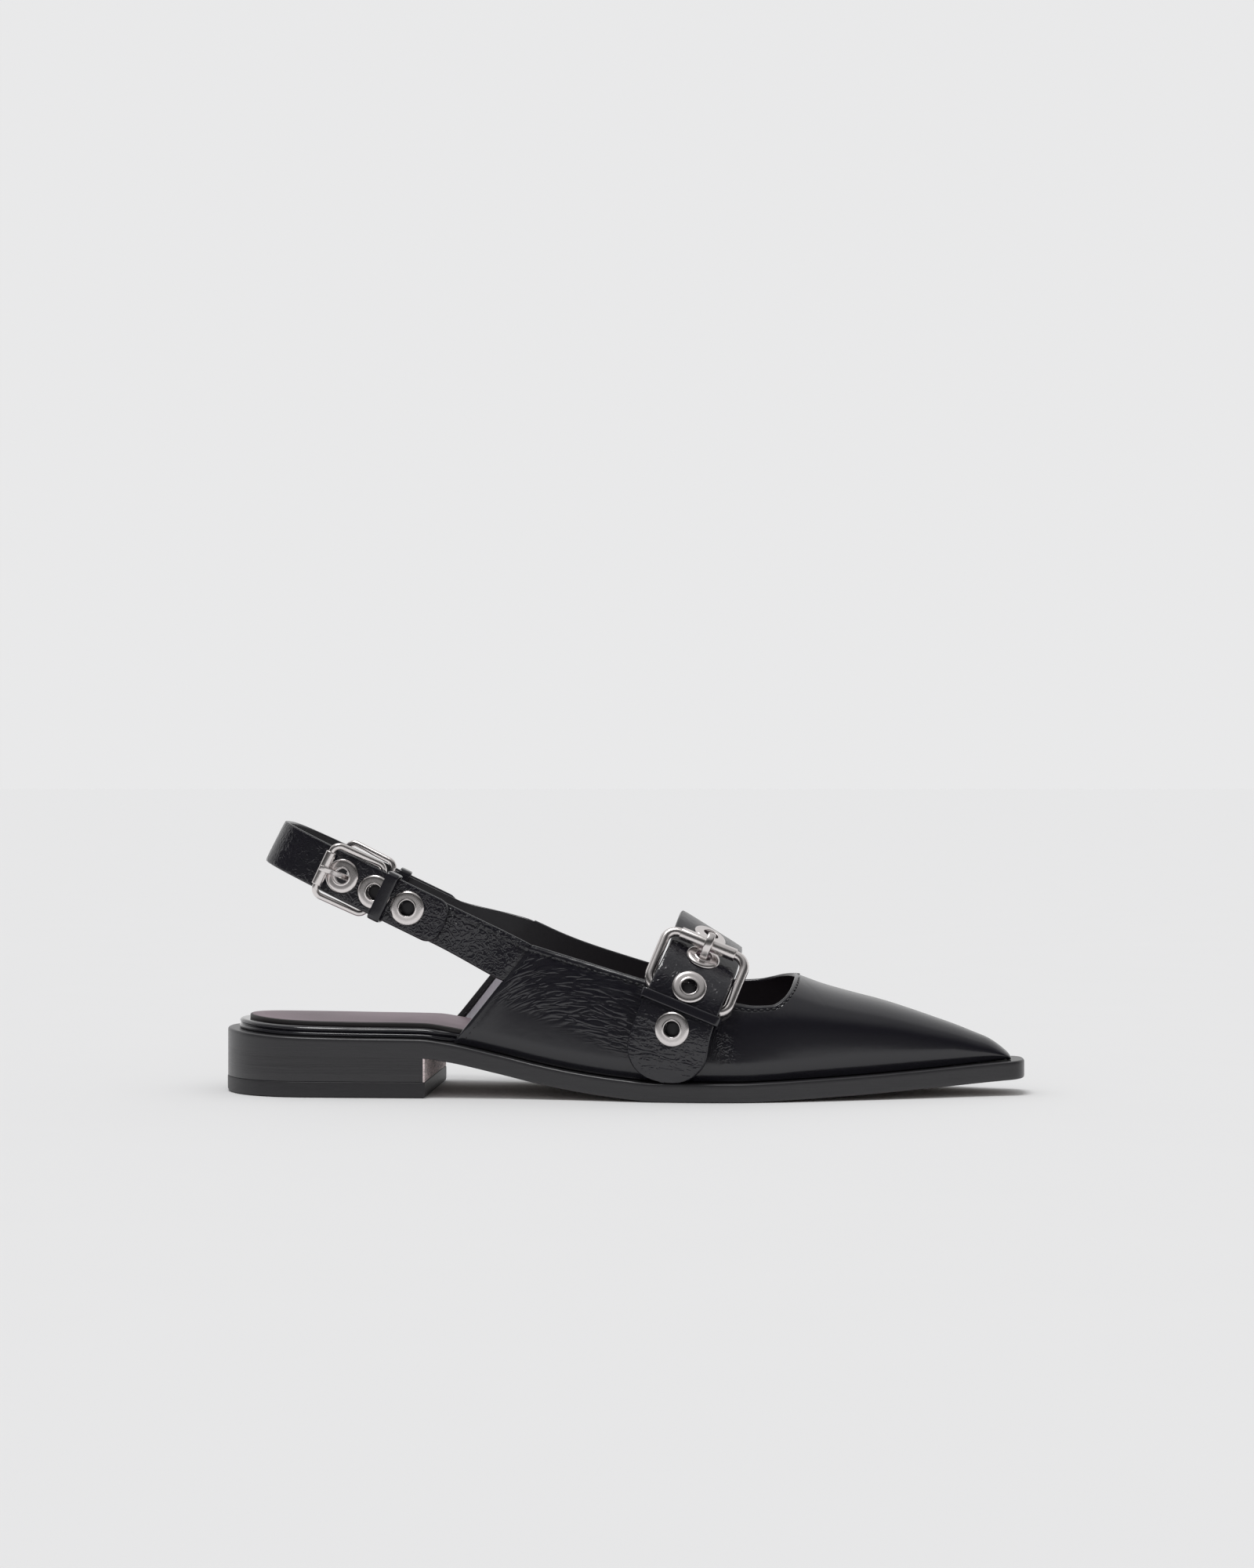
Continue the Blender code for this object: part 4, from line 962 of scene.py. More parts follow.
def sling_at(rail, side, run):
    """Distance along the heel strap's rail of a place measured from the seam on one side."""
    half = rail.at[: len(rail.at) // 2 + 1]
    run_there = (rail.points[: len(half)] - STRAP_START) @ along_strap
    near = float(np.interp(run + SLING_SHIFT[side], run_there, half))
    return near if side == LATERAL else rail.length - near


def instep_rail():
    """The instep strap's middle, a smooth curve through its table, and its half width along it."""
    rough = np.array([(p.x, p.y, p.z) for p in INSTEP])
    knots = run_along(rough)
    Knot = namedtuple("Knot", "s x y z lean splay half")
    rows = [Knot(k, *p) for k, p in zip(knots, INSTEP)]
    fine = np.linspace(0, knots[-1], INSTEP_RAIL_STEPS) * MM
    points = relaxed(np.stack([through(rows, c, MM, "s")(fine) for c in "xyz"], axis=1), INSTEP_EASING)
    lean = np.radians(through(rows, "lean", 1.0, "s")(fine))
    splay = np.radians(through(rows, "splay", 1.0, "s")(fine))
    rail = Rail(points, np.stack((np.cos(lean), np.tan(splay), -np.sin(lean)), axis=1))
    half = through(rows, "half", MM, "s")
    return rail, lambda s: half(np.interp(s, rail.at, fine))


def tip_corner(distance, half, radius):
    """Half width near a strap's end, whose corners are quarter circles."""
    near = np.clip(radius - distance, 0, radius)
    return half - radius + np.sqrt(np.maximum(radius**2 - near**2, 0))


HOLE_CELLS, HOLE_REACH = 6, 11
TIP_STEPS = 25
EDGE_THINNING = 0.14
HEEL_STRAP_COLUMNS, INSTEP_STRAP_COLUMNS, BUCKLE_TAB_COLUMNS = 31, 47, 41


def strap_sheet(tips, holes, half, radius, columns):
    """Distances along and across a strap on a grid that opens round each hole: rings of cells about a hole
    pass from squares into circles, and the cells inside the innermost ring are left out. Tips give each
    end's place and corner radius, and the stations gather into the round of a tip as a cosine does."""
    (first, first_round), (last, last_round) = tips
    knots = [first + first_round] + list(holes) + [last - last_round]
    counts = [max(4, round((b - a) / FINE)) for a, b in zip(knots, knots[1:])]
    number = np.concatenate(([0], np.cumsum(counts)))
    body = np.interp(np.arange(number[-1] + 1), number, knots)
    turn = np.linspace(0, math.pi / 2, TIP_STEPS)
    head = first + first_round * (1 - np.cos(turn))[:-1] if first_round else np.empty(0)
    tail = last - last_round * (1 - np.cos(turn))[-2::-1] if last_round else np.empty(0)
    stops = np.concatenate((head, body, tail))
    width = half(stops)
    if first_round:
        width = np.minimum(width, tip_corner(stops - first, width, first_round))
    if last_round:
        width = np.minimum(width, tip_corner(last - stops, width, last_round))
    j = np.arange(columns) - (columns - 1) / 2
    along = np.repeat(stops[:, None], columns, axis=1)
    across = width[:, None] * (j / j[-1])[None, :]
    nearest = np.full(along.shape, np.inf)
    for row in number[1:-1] + len(head):
        i = np.arange(len(stops)) - row
        ring = np.maximum(np.abs(i)[:, None], np.abs(j)[None, :])
        angle = np.arctan2(j[None, :], i[:, None])
        share = np.clip((ring - HOLE_CELLS) / (HOLE_REACH - HOLE_CELLS), 0, 1)
        inside = ring <= HOLE_REACH
        circle_s = stops[row] + radius * np.cos(angle)
        along = np.where(inside, circle_s * (1 - share) + along * share, along)
        across = np.where(inside, radius * np.sin(angle) * (1 - share) + across * share, across)
        nearest = np.minimum(nearest, ring)
    cells = grid_cells(*along.shape)
    open_cells = nearest.ravel()[cells].max(axis=1) > HOLE_CELLS
    return along, across, cells[open_cells], np.abs(across) / np.maximum(width[:, None], WELD)


def strap_piece(name, node, rail, sheet, thickness, relief, wave, craze):
    """A strap: its sheet set off to both sides of the rail, a little thinner at its edges, with a round
    rim."""
    along, across, cells, share = sheet
    face = thickness / 2 * (1 - EDGE_THINNING * np.clip(share, 0, 1) ** 8)
    outer = rail.point(along, face + relief, across).reshape(-1, 3)
    inner = rail.point(along, -face, across).reshape(-1, 3)
    used, number = np.unique(cells, return_inverse=True)
    outer, inner, cells = outer[used], inner[used], number.reshape(cells.shape)
    if np.mean(np.sum(quad_normals(outer, cells) * (outer - inner)[cells[:, 0]], axis=1)) < 0:
        cells = cells[:, ::-1]
    points, quads, kind = shell(outer, inner, cells, bulge=0.6)
    finishes = [patent("strap_patent"), lining(), patent("strap_patent")]
    grain = np.stack((across, along, 0 * along), axis=-1).reshape(-1, 3) / MM
    fields = {"wave": wave.ravel(), "craze": craze.ravel(), "grain": grain}
    fields = {key: spread(values[used], points) for key, values in fields.items()}
    piece(name, points, quads, finishes, "strap_patent", [node], kind, fields)


def build_heel_strap():
    """The heel strap on its rail, with a fine net of crinkles that is strongest at its tips."""
    rail = heel_rail()
    half = sizes().heel_strap / 2
    holes = [sling_at(rail, LATERAL, run) for run in SLING_EYELETS]
    holes += [sling_at(rail, MEDIAL, run) for run in SLING_EYELETS[::-1]]
    tips = [(sling_at(rail, side, STRAP_TIP_AT), STRAP_TIP_ROUND) for side in SIDES]
    sheet = strap_sheet(tips, holes, lambda s: np.full_like(s, half), EYELET_BARREL, HEEL_STRAP_COLUMNS)
    along, across = sheet[0] / MM, sheet[1] / MM
    craze = 0.5 + 0.5 * bell(np.minimum(along - tips[0][0] / MM, tips[1][0] / MM - along), 18)
    net = crinkle(across + along, along - across, *HEEL_STRAP_NET)
    relief = HEEL_STRAP_DEPTH * sizes().crinkle * craze * net
    strap_piece("heel_strap_leather", "heel_strap", rail, sheet, sizes().heel_strap_thick, relief,
                0 * craze, craze)


def instep_holes():
    """Distances of the eyelets from the instep strap's tip, evenly spaced."""
    return [INSTEP_FIRST_EYELET + INSTEP_EYELET_PITCH * k for k in range(INSTEP_EYELETS)]


def build_instep_strap():
    """The instep strap on its rail, folded at its tip, and the plain tab under it that carries its
    buckle."""
    rail, half = instep_rail()
    thickness = sizes().instep_strap_thick
    tips = ((0.0, INSTEP_TIP_ROUND), (rail.length, 0.0))
    sheet = strap_sheet(tips, instep_holes(), half, EYELET_BARREL, INSTEP_STRAP_COLUMNS)
    along, across = sheet[0] / MM, sheet[1] / MM
    tip = falling(along, *TIP_FADE) * smooth(along / TIP_MARGIN)
    folds = TIP_DEPTH * tip * crinkle(across + 0.2 * along, along - 0.12 * across, *TIP_FOLDS)
    lower = 0.5 * falling(along, *LOWER_FADE)
    strap_piece("instep_strap_leather", "instep_strap", rail, sheet, thickness, sizes().crinkle * folds,
                np.maximum(tip, lower), PLAIN_NET + 0 * along)
    pivot_at = instep_holes()[0] + INSTEP_PIVOT_AFTER
    reach = np.linspace(BUCKLE_TAB_START, pivot_at - INSTEP_WIRE - 3 * GAP, 60)
    depth = -(thickness / 2 + GAP + BUCKLE_TAB_THICKNESS / 2)
    under = Rail(rail.point(reach, np.full_like(reach, depth)), rail.axes(reach)[3])
    tips = ((0.0, 0.0), (under.length, 0.0))
    plain = strap_sheet(tips, [], lambda s: np.full_like(s, BUCKLE_TAB_HALF), 0.0, BUCKLE_TAB_COLUMNS)
    none = np.zeros_like(plain[0])
    strap_piece("instep_buckle_tab_leather", "instep_buckle_tab", under, plain, BUCKLE_TAB_THICKNESS, 0.0,
                none, none + PLAIN_NET)


# Metalwork and keepers

def rounded_box(half_long, half_wide, radius, steps=8, straight=6):
    """Points of a rounded rectangle about its middle: quarter circles with points along its straights."""
    turn = np.radians(np.linspace(0, 90, steps + 1))
    arcs = []
    for a, b, start in ((1, 1, 0.0), (-1, 1, 0.5), (-1, -1, 1.0), (1, -1, 1.5)):
        t = turn + start * math.pi
        arcs.append(np.stack((a * (half_long - radius) + radius * np.cos(t),
                              b * (half_wide - radius) + radius * np.sin(t)), axis=1))
    share = np.linspace(0, 1, straight + 1)[1:-1, None]
    runs = []
    for k in range(4):
        here, after = arcs[k], arcs[(k + 1) % 4]
        runs += [here, here[-1] * (1 - share) + after[0] * share]
    return np.concatenate(runs)


def rod(path, across, wide, thick, closed=False, square=1.0):
    """Wire along a path: an ellipse across it with one axis in a fixed direction, its sine and cosine raised
    to a power that squares it, and where the path is open both ends close as half ellipsoids."""
    swell = np.ones(len(path))
    if closed:
        run = np.roll(path, -1, axis=0) - np.roll(path, 1, axis=0)
    else:
        run = np.gradient(path, axis=0)
        cap = np.radians(np.linspace(0, 90, CAP_STEPS + 1))
        front = path[:1] - unit(run[:1]) * thick * np.cos(cap[:-1])[:, None]
        back = path[-1:] + unit(run[-1:]) * thick * np.sin(cap[1:])[:, None]
        path = np.concatenate((front, path, back))
        run = np.concatenate((np.repeat(run[:1], CAP_STEPS, 0), run, np.repeat(run[-1:], CAP_STEPS, 0)))
        swell = np.concatenate((np.sin(cap[:-1]), swell, np.cos(cap[1:])))
    out = unit(np.cross(run, across))
    turn = np.linspace(0, 2 * math.pi, ROUND_SIDES + 1)[:-1]
    ring = across * (wide * powered(np.cos(turn), square))[:, None]
    rise = thick * powered(np.sin(turn), square)
    points = path[:, None, :] + swell[:, None, None] * (ring + out[:, None, :] * rise[:, None])
    if closed:
        points = np.concatenate((points, points[:1]))
    return points.reshape(-1, 3), grid_cells(len(points), ROUND_SIDES, wrap=True)


def facing_out(points, cells):
    """Turns the quads of a closed surface so that its volume is positive."""
    middle = points[cells].mean(axis=1) - points.mean(axis=0)
    return cells if np.sum(quad_normals(points, cells) * middle) > 0 else cells[:, ::-1]


def metal(name, ending, points, cells, sharp=180.0):
    """A closed piece of the metalwork that stands for one node."""
    piece(f"{name}_{ending}", points, facing_out(points, cells), [nickel()], "nickel", [name], sharp=sharp)


def turned(profile, place, along, wide, out, sides=RING_SIDES):
    """A closed profile of radius and height turned about the outward direction."""
    turn = np.linspace(0, 2 * math.pi, sides + 1)[:-1]
    rim = along * np.cos(turn)[:, None] + wide * np.sin(turn)[:, None]
    points = place + profile[:, None, :1] * rim[None, :, :] + profile[:, None, 1:] * out
    points = np.concatenate((points, points[:1]))
    return points.reshape(-1, 3), grid_cells(len(points), sides, wrap=True)


Bend = namedtuple("Bend", "radius height")
EYELET = [
    Bend(2.6, -1.0), Bend(2.6, 0.3), Bend(2.62, 0.8), Bend(2.7, 0.98), Bend(2.82, 1.06), Bend(2.96, 1.06),
    Bend(3.08, 0.99), Bend(3.18, 0.92), Bend(3.35, 0.91), Bend(4.0, 0.9), Bend(4.5, 0.88), Bend(4.8, 0.84),
    Bend(5.05, 0.77), Bend(5.28, 0.66), Bend(5.48, 0.5), Bend(5.64, 0.3), Bend(5.76, 0.07), Bend(5.72, 0.0),
    Bend(3.3, 0.0), Bend(3.05, -0.1), Bend(3.0, -1.0),
]


def build_eyelet(name, rail, s, thickness):
    """A turned ring: a barrel with a rolled mouth and a flat flange, rounded down to the strap at its rim.
    Heights below the strap's outer face are shares of half its thickness."""
    face = thickness / 2
    heights = [face * b.height if b.height < 0 else face + b.height * MM for b in EYELET]
    rows = np.array([(b.radius * MM, height) for b, height in zip(EYELET, heights)])
    place, along, out, wide = rail.axes(s)
    metal(name, "ring", *turned(rows, place, along, wide, out))


# Dark disc that closes an open eyelet hole as painted shade: radius and height in millimetres; it sinks by a
# share of the strap's thickness
HOLE_SHADE_DISC = [
    Bend(0.0, 0.25), Bend(0.8, 0.22), Bend(1.6, 0.12), Bend(2.3, 0.0), Bend(2.4, -0.15), Bend(2.3, -0.3),
    Bend(0.0, -0.3),
]
HOLE_SHADE_DISC_SUNK = 0.42


def build_backings(rails):
    """Painted shade in the holes that hold no prong: small dark domed discs that close the foot of the
    eyelets' barrels.
    """
    parts = []
    for rail, thickness, places in rails:
        rows = np.array(HOLE_SHADE_DISC) * MM - np.array((0.0, HOLE_SHADE_DISC_SUNK * thickness))
        for s in places:
            place, along, out, wide = rail.axes(s)
            points, cells = turned(rows, place, along, wide, out, ROUND_SIDES)
            parts.append((points, facing_out(points, cells)))
    # dark discs in the lining's finish: painted shade inside the open eyelet holes
    piece("eyelet_backings", *joined(parts), [lining()], "strap_patent")


class Buckle:
    """Frame with a pivot bar under the strap and a roller over it, and a prong through an eyelet."""

    def __init__(self, prefix, rail, pivot_at, roller_at, strap_half, thickness, wire, roller):
        self.prefix, self.rail, self.face = prefix, rail, thickness / 2
        self.pivot_at, self.roller_at, self.wire, self.tube = pivot_at, roller_at, wire, roller
        self.pivot = rail.point(pivot_at, -(self.face + 2 * GAP + wire))
        self.crown = rail.point(roller_at, self.face + ROLLER_LIFT + roller)
        self.wide = rail.axes(pivot_at)[3]
        self.half_wide = strap_half + FRAME_ROOM + wire
        self.corner = FRAME_CORNER * wire

    def frame(self):
        """A round wire bent to a rounded rectangle."""
        span = self.crown - self.pivot
        length = np.linalg.norm(span)
        shape = rounded_box(length / 2, self.half_wide, self.corner)
        path = (self.pivot + self.crown) / 2 + shape[:, :1] * span / length + shape[:, 1:] * self.wide
        normal = unit(np.cross(span, self.wide))
        metal(f"{self.prefix}_buckle_frame", "wire", *rod(path, normal, self.wire, self.wire, closed=True))

    def roller(self):
        """A tube on the upper bar with its mouths rounded."""
        span = self.crown - self.pivot
        square = unit(span - self.wide * np.dot(self.wide, span))
        reach = self.half_wide - self.corner - ROLLER_END_ROOM
        bore = self.wire + ROLLER_PLAY
        turn = np.radians(np.linspace(0, 90, 5))
        right = np.stack((self.tube - ROLLER_ROUND * (1 - np.cos(turn)),
                          reach - ROLLER_ROUND * (1 - np.sin(turn))), axis=1)
        left = right[::-1] * np.array((1.0, -1.0))
        rows = np.concatenate((left, right, [(bore, reach), (bore, -reach)]))
        made = turned(rows, self.crown, square, np.cross(self.wide, square), self.wide)
        metal(f"{self.prefix}_roller", "tube", *made, sharp=40.0)

    def prong(self, eyelet_at):
        """From the pivot bar under the strap, up through the eyelet and round over the roller."""
        radius = PRONG_SHARE * self.wire
        ahead = math.copysign(1.0, self.roller_at - self.pivot_at)
        under = -(self.face + GAP + radius)
        middle = self.face + ROLLER_LIFT + self.tube
        over = self.tube + 1.5 * GAP + radius
        turn = np.radians(np.linspace(PRONG_WRAP[0], PRONG_WRAP[1], 9))
        s = [self.pivot_at + ahead * (self.wire + GAP + radius)]
        s += [eyelet_at - ahead * before for before in PRONG_RISE_BEFORE]
        depth = [under + rise for rise in PRONG_RISE]
        s = np.concatenate((s, self.roller_at + ahead * over * np.cos(turn)))
        depth = np.concatenate((depth, middle + over * np.sin(turn)))
        rough = self.rail.point(s, depth)
        run = run_along(rough)
        path = relaxed(vectors_at(np.linspace(0, run[-1], PRONG_STEPS), run, rough), PRONG_EASING)
        wide = self.rail.axes(eyelet_at)[3]
        across, deep = PRONG_FLAT
        made = rod(path, wide, across * radius, deep * radius, square=PRONG_SQUARENESS)
        metal(f"{self.prefix}_prong", "bar", *made)


def build_keeper(name, rail, at, half, inner, outer, width):
    """A flat leather loop: a rounded rectangle's path about the strap carrying a rounded flat section."""
    place, along, out, wide = rail.axes(at)
    deep = (outer - inner) / 2
    thick = KEEPER_THICKNESS / 2
    path = rounded_box(half + thick, deep + thick, KEEPER_CORNER)
    run = np.roll(path, -1, axis=0) - np.roll(path, 1, axis=0)
    away = unit(np.stack((run[:, 1], -run[:, 0]), axis=1))
    turn = np.linspace(0, 2 * math.pi, ROUND_SIDES + 1)[:-1]
    flat = powered(np.cos(turn), KEEPER_SECTION[0]) * width / 2
    puff = powered(np.sin(turn), KEEPER_SECTION[1]) * thick
    middle = place + out * (inner + outer) / 2
    ring = path[:, None, :] + away[:, None, :] * puff[None, :, None]
    points = middle + ring[..., :1] * wide + ring[..., 1:] * out + flat[None, :, None] * along
    points = np.concatenate((points, points[:1])).reshape(-1, 3)
    cells = grid_cells(len(path) + 1, len(turn), wrap=True)
    piece(f"{name}_loop", points, facing_out(points, cells), [patent("strap_patent")], "strap_patent",
          [name])


def build_metalwork():
    """The eyelets with the dark discs that paint shade into their open holes, then the frame, roller and
    prong of each buckle.
    """
    rail = heel_rail()
    sling_holes = [sling_at(rail, side, run) for side in SIDES for run in SLING_EYELETS[:-1]]
    instep_open = [s for count, s in enumerate(instep_holes(), 1) if count != INSTEP_PRONG_EYELET]
    build_backings(((rail, sizes().heel_strap_thick, sling_holes),
                    (instep_rail()[0], sizes().instep_strap_thick, instep_open)))
    half, thick = sizes().heel_strap / 2, sizes().heel_strap_thick
    for side in SIDES:
        word = SIDE_WORD[side]
        for count, run in enumerate(SLING_EYELETS, 1):
            build_eyelet(f"sling_eyelet_{word}_{count}", rail, sling_at(rail, side, run), thick)
        made = Buckle(f"sling_{word}", rail, sling_at(rail, side, SLING_PIVOT_AT),
                      sling_at(rail, side, SLING_ROLLER_AT), half, thick, SLING_WIRE, SLING_ROLLER)
        made.frame()
        made.roller()
        made.prong(sling_at(rail, side, SLING_EYELETS[-1]))
    rail, half_at = instep_rail()
    thick, holes = sizes().instep_strap_thick, instep_holes()
    for count, s in enumerate(holes, 1):
        build_eyelet(f"instep_eyelet_{count}", rail, s, thick)
    made = Buckle("instep", rail, holes[0] + INSTEP_PIVOT_AFTER, holes[0] + INSTEP_ROLLER_AFTER,
                  float(half_at(holes[1])), thick, INSTEP_WIRE, INSTEP_ROLLER)
    made.frame()
    made.roller()
    made.prong(holes[INSTEP_PRONG_EYELET - 1])


def build_keepers():
    """A keeper on each side of the heel strap and one on the instep strap."""
    rail = heel_rail()
    half, thick = sizes().heel_strap / 2, sizes().heel_strap_thick
    for side in SIDES:
        build_keeper(f"sling_keeper_{SIDE_WORD[side]}", rail, sling_at(rail, side, SLING_KEEPER_AT),
                     half + KEEPER_ROOM, -(thick / 2 + 2 * GAP + sizes().wall), thick / 2 + SLING_KEEPER_ROOM,
                     SLING_KEEPER_WIDTH)
    rail, half_at = instep_rail()
    first, thick = instep_holes()[0], sizes().instep_strap_thick
    build_keeper("instep_keeper", rail, first + INSTEP_KEEPER_AFTER, float(half_at(first)) + KEEPER_ROOM,
                 -(thick / 2 + 2 * GAP + BUCKLE_TAB_THICKNESS), thick / 2 + GAP, INSTEP_KEEPER_WIDTH)


# Stitching

THREAD_RADIUS = 0.28 * MM


def stitch_row(points, normals):
    """Stitches spread evenly along a line: small ellipsoids that lie along it, half sunk in the leather."""
    run = run_along(points)
    at = np.arange(0.5 * sizes().stitch_pitch, run[-1], sizes().stitch_pitch)
    before, middle, after = (vectors_at(at + step, run, points) for step in (-FINE, 0, FINE))
    along = unit(after - before)
    out = unit(vectors_at(at, run, normals))
    across = np.cross(along, out)
    turn, lift = np.linspace(0, 2 * math.pi, 9)[:-1], np.radians(np.linspace(-90, 90, 7))[:, None]
    shape = np.stack((
        sizes().stitch / 2 * np.sin(lift) + 0 * turn,
        THREAD_RADIUS * np.cos(lift) * np.cos(turn),
        THREAD_RADIUS * np.cos(lift) * np.sin(turn),
    ), axis=-1).reshape(-1, 3)
    frames = np.stack((along, across, out), axis=1)
    made = middle[:, None, :] + shape @ frames
    cells = grid_cells(len(lift), len(turn), wrap=True)
    every = cells[None, :, :] + (np.arange(len(at)) * len(shape))[:, None, None]
    return made.reshape(-1, 3), every.reshape(-1, 4)


def line_on(surface, first, second):
    """Points of a line drawn on a surface function of two parameters, and the surface's normals there."""
    step = 1e-3
    here = surface(first, second)
    du = surface(first + step, second) - here
    dv = surface(first, second - step) - here
    normal = unit(np.cross(du, dv))
    return here, normal * np.sign(np.sum(normal * here * np.array((0.0, 1.0, 0.0)), axis=1, keepdims=True))


# Rows of stitches: how far they run, in stations along the top line and in shares of the back edge and tab
STITCH_INSET = 2.0 * MM
STITCH_LIFT = 0.12 * MM
INNER_STITCH = 0.06
TOP_RUN = (0.12, THROAT_STATION - 0.02)
BACK_RUN = (0.04, 0.985)
TAB_RUN, TAB_STITCH = (0.02, 0.97), 0.87
INNER_RUN = (0.1, TAB_CORNER - 0.02)
LINE_STEPS, TOP_LINE_STEPS = 200, 400


def build_stitches():
    """Rows along the top line, the back edge and the tab, and one inside along the facing."""
    parts = []
    for side in SIDES:
        def quarter(a, b, side=side):
            return upper_point(side, a, b)

        def tab(a, b, side=side):
            return tab_point(side, a, b)

        def row(run):
            return np.linspace(*run, LINE_STEPS)

        def level(value):
            return np.full(LINE_STEPS, value)

        station = np.linspace(*TOP_RUN, TOP_LINE_STEPS)
        reach = quarter(station, np.ones(TOP_LINE_STEPS)) - quarter(station, np.zeros(TOP_LINE_STEPS))
        rows = [
            line_on(quarter, station, 1 - STITCH_INSET / np.linalg.norm(reach, axis=1)),
            line_on(quarter, level(BACK_STITCH), row(BACK_RUN)),
            line_on(tab, row(TAB_RUN), level(TAB_STITCH)),
        ]
        inside, normal = line_on(quarter, level(INNER_STITCH), row(INNER_RUN))
        rows.append((inside - normal * (sizes().wall + 2 * STITCH_LIFT), -normal))
        parts += [stitch_row(line + normal * STITCH_LIFT, normal) for line, normal in rows]
    piece("upper_stitches", *joined(parts), [thread()], "upper_patent")


# Finishes

class Shade:
    """A socket of a node tree that takes part in arithmetic: each operation adds a Math node."""

    def __init__(self, nodes, socket):
        self.nodes, self.socket = nodes, socket

    def combine(self, operation, first, second):
        return self.nodes.node("ShaderNodeMath", {"operation": operation}, {0: first, 1: second})

    def __add__(self, other):
        return self.combine("ADD", self, other)

    def __sub__(self, other):
        return self.combine("SUBTRACT", self, other)

    def __rsub__(self, other):
        return self.combine("SUBTRACT", other, self)

    def __mul__(self, other):
        return self.combine("MULTIPLY", self, other)

    def __abs__(self):
        return self.combine("ABSOLUTE", self, 0.0)

    __radd__ = __add__
    __rmul__ = __mul__


class Nodes:
    """A tree of shader nodes."""

    def __init__(self, tree):
        self.tree = tree

    def put(self, socket, value):
        if isinstance(value, Shade):
            self.tree.links.new(value.socket, socket)
        else:
            socket.default_value = value

    def node(self, kind, settings=None, sockets=None, output=0):
        """Adds a node of a type, sets its settings, then the values or links of its sockets."""
        made = self.tree.nodes.new(kind)
        for key, value in (settings or {}).items():
            if key == "stops":
                for element, (position, grey) in zip(made.color_ramp.elements, value):
                    element.position = position
                    element.color = (grey, grey, grey, 1.0)
            else:
                setattr(made, key, value)
        for key, value in (sockets or {}).items():
            self.put(made.inputs[key], value)
        return Shade(self, made.outputs[output])


class Finish(Nodes):
    """A material made of nodes about one Principled shader."""

    def __init__(self, name):
        self.material = bpy.data.materials.new(name)
        self.material.use_nodes = True
        super().__init__(self.material.node_tree)
        self.shader = self.tree.nodes["Principled BSDF"]

    def coords(self, scale=(1.0, 1.0, 1.0)):
        """Object coordinates in millimetres, scaled along the axes."""
        sockets = {"Vector": self.node("ShaderNodeTexCoord", output="Object"),
                   "Scale": tuple(MM / s for s in scale)}
        return self.node("ShaderNodeMapping", {"vector_type": "TEXTURE"}, sockets)

    def noise(self, vector, scale, detail=2.0, roughness=0.5, distortion=0.0):
        sockets = {"Vector": vector, "Scale": scale, "Detail": detail, "Roughness": roughness,
                   "Distortion": distortion}
        return self.node("ShaderNodeTexNoise", None, sockets)

    def attribute(self, name, output=2):
        return self.node("ShaderNodeAttribute", {"attribute_name": name}, output=output)

    def ramp(self, value, low, high):
        return self.node("ShaderNodeValToRGB", {"stops": (low, high)}, {0: value})

    def mix(self, factor, first, second):
        return self.node("ShaderNodeMix", {"data_type": "RGBA"}, {0: factor, 6: first, 7: second}, output=2)

    def tones(self, factor, colour, low, high=1.0):
        """A colour that runs from one share of its brightness to another."""
        first, second = ((*(share * c for c in colour), 1.0) for share in (low, high))
        return self.mix(factor, first, second)

    def bump(self, height, distance, strength=1.0):
        sockets = {"Height": height, "Distance": distance, "Strength": strength}
        self.set({"Normal": self.node("ShaderNodeBump", None, sockets)})

    def set(self, values):
        for key, value in values.items():
            self.put(self.shader.inputs[key], value)
        return self.material


def shared(build):
    """Makes a finish once and gives the same material after that."""
    def once(*key):
        name = (key[0] if key else build.__name__) + "_finish"
        return bpy.data.materials.get(name) or build(name)
    return once


@shared
def patent(name):
    """Black patent: a dark ground with a clear gloss, with pores and a slow swell that unsettle the shine.
    Where the piece says so it is crinkled in the leather's own coordinates: long folds, or a fine net
    without direction, each the distance of a noise from its middle, so that round ridges meet in sharp
    valleys. Smooth parts are a little duller."""
    made = Finish(name)
    at = made.coords()
    pores = made.noise(at, 2.6, 3.0, 0.55)
    swell = made.noise(at, 0.22, 2.0)
    grain = made.attribute("grain", output=1)
    stretched = made.node("ShaderNodeMapping", None, {"Vector": grain, "Scale": (0.12, 0.52, 1.0)})
    wave, craze = made.attribute("wave"), made.attribute("craze")
    folds = abs(made.noise(stretched, 1.0, 1.5, 0.5, 0.5) - 0.5) * wave
    net = abs(made.noise(grain, 0.5, 1.5, 0.5, 0.9) - 0.5) * craze
    made.bump(pores * 0.004 + swell * 0.03 + folds * 0.65 + net * 0.75, MM)
    return made.set({
        "Base Color": (*colours().patent, 1.0), "IOR": 1.62,
        "Roughness": 0.17 + 0.08 * pores - 0.1 * (wave + craze),
    })


@shared
def wrap_patent(name):
    """Smooth glossy patent of the insole's rim."""
    made = Finish(name)
    swell = made.noise(made.coords(), 0.5, 2.0)
    made.bump(swell, 0.15 * MM, 0.5)
    return made.set({
        "Base Color": (*colours().patent, 1.0), "Roughness": 0.1 + 0.06 * swell, "Coat Weight": 0.8,
        "Coat Roughness": 0.03,
    })


@shared
def lining(name):
    """Matt black lining with a fine nap."""
    made = Finish(name)
    nap = made.noise(made.coords(), 3.2, 4.0, 0.6)
    made.bump(nap, 0.1 * MM, 0.5)
    return made.set({"Base Color": (*colours().lining, 1.0), "Roughness": 0.5 + 0.15 * nap})


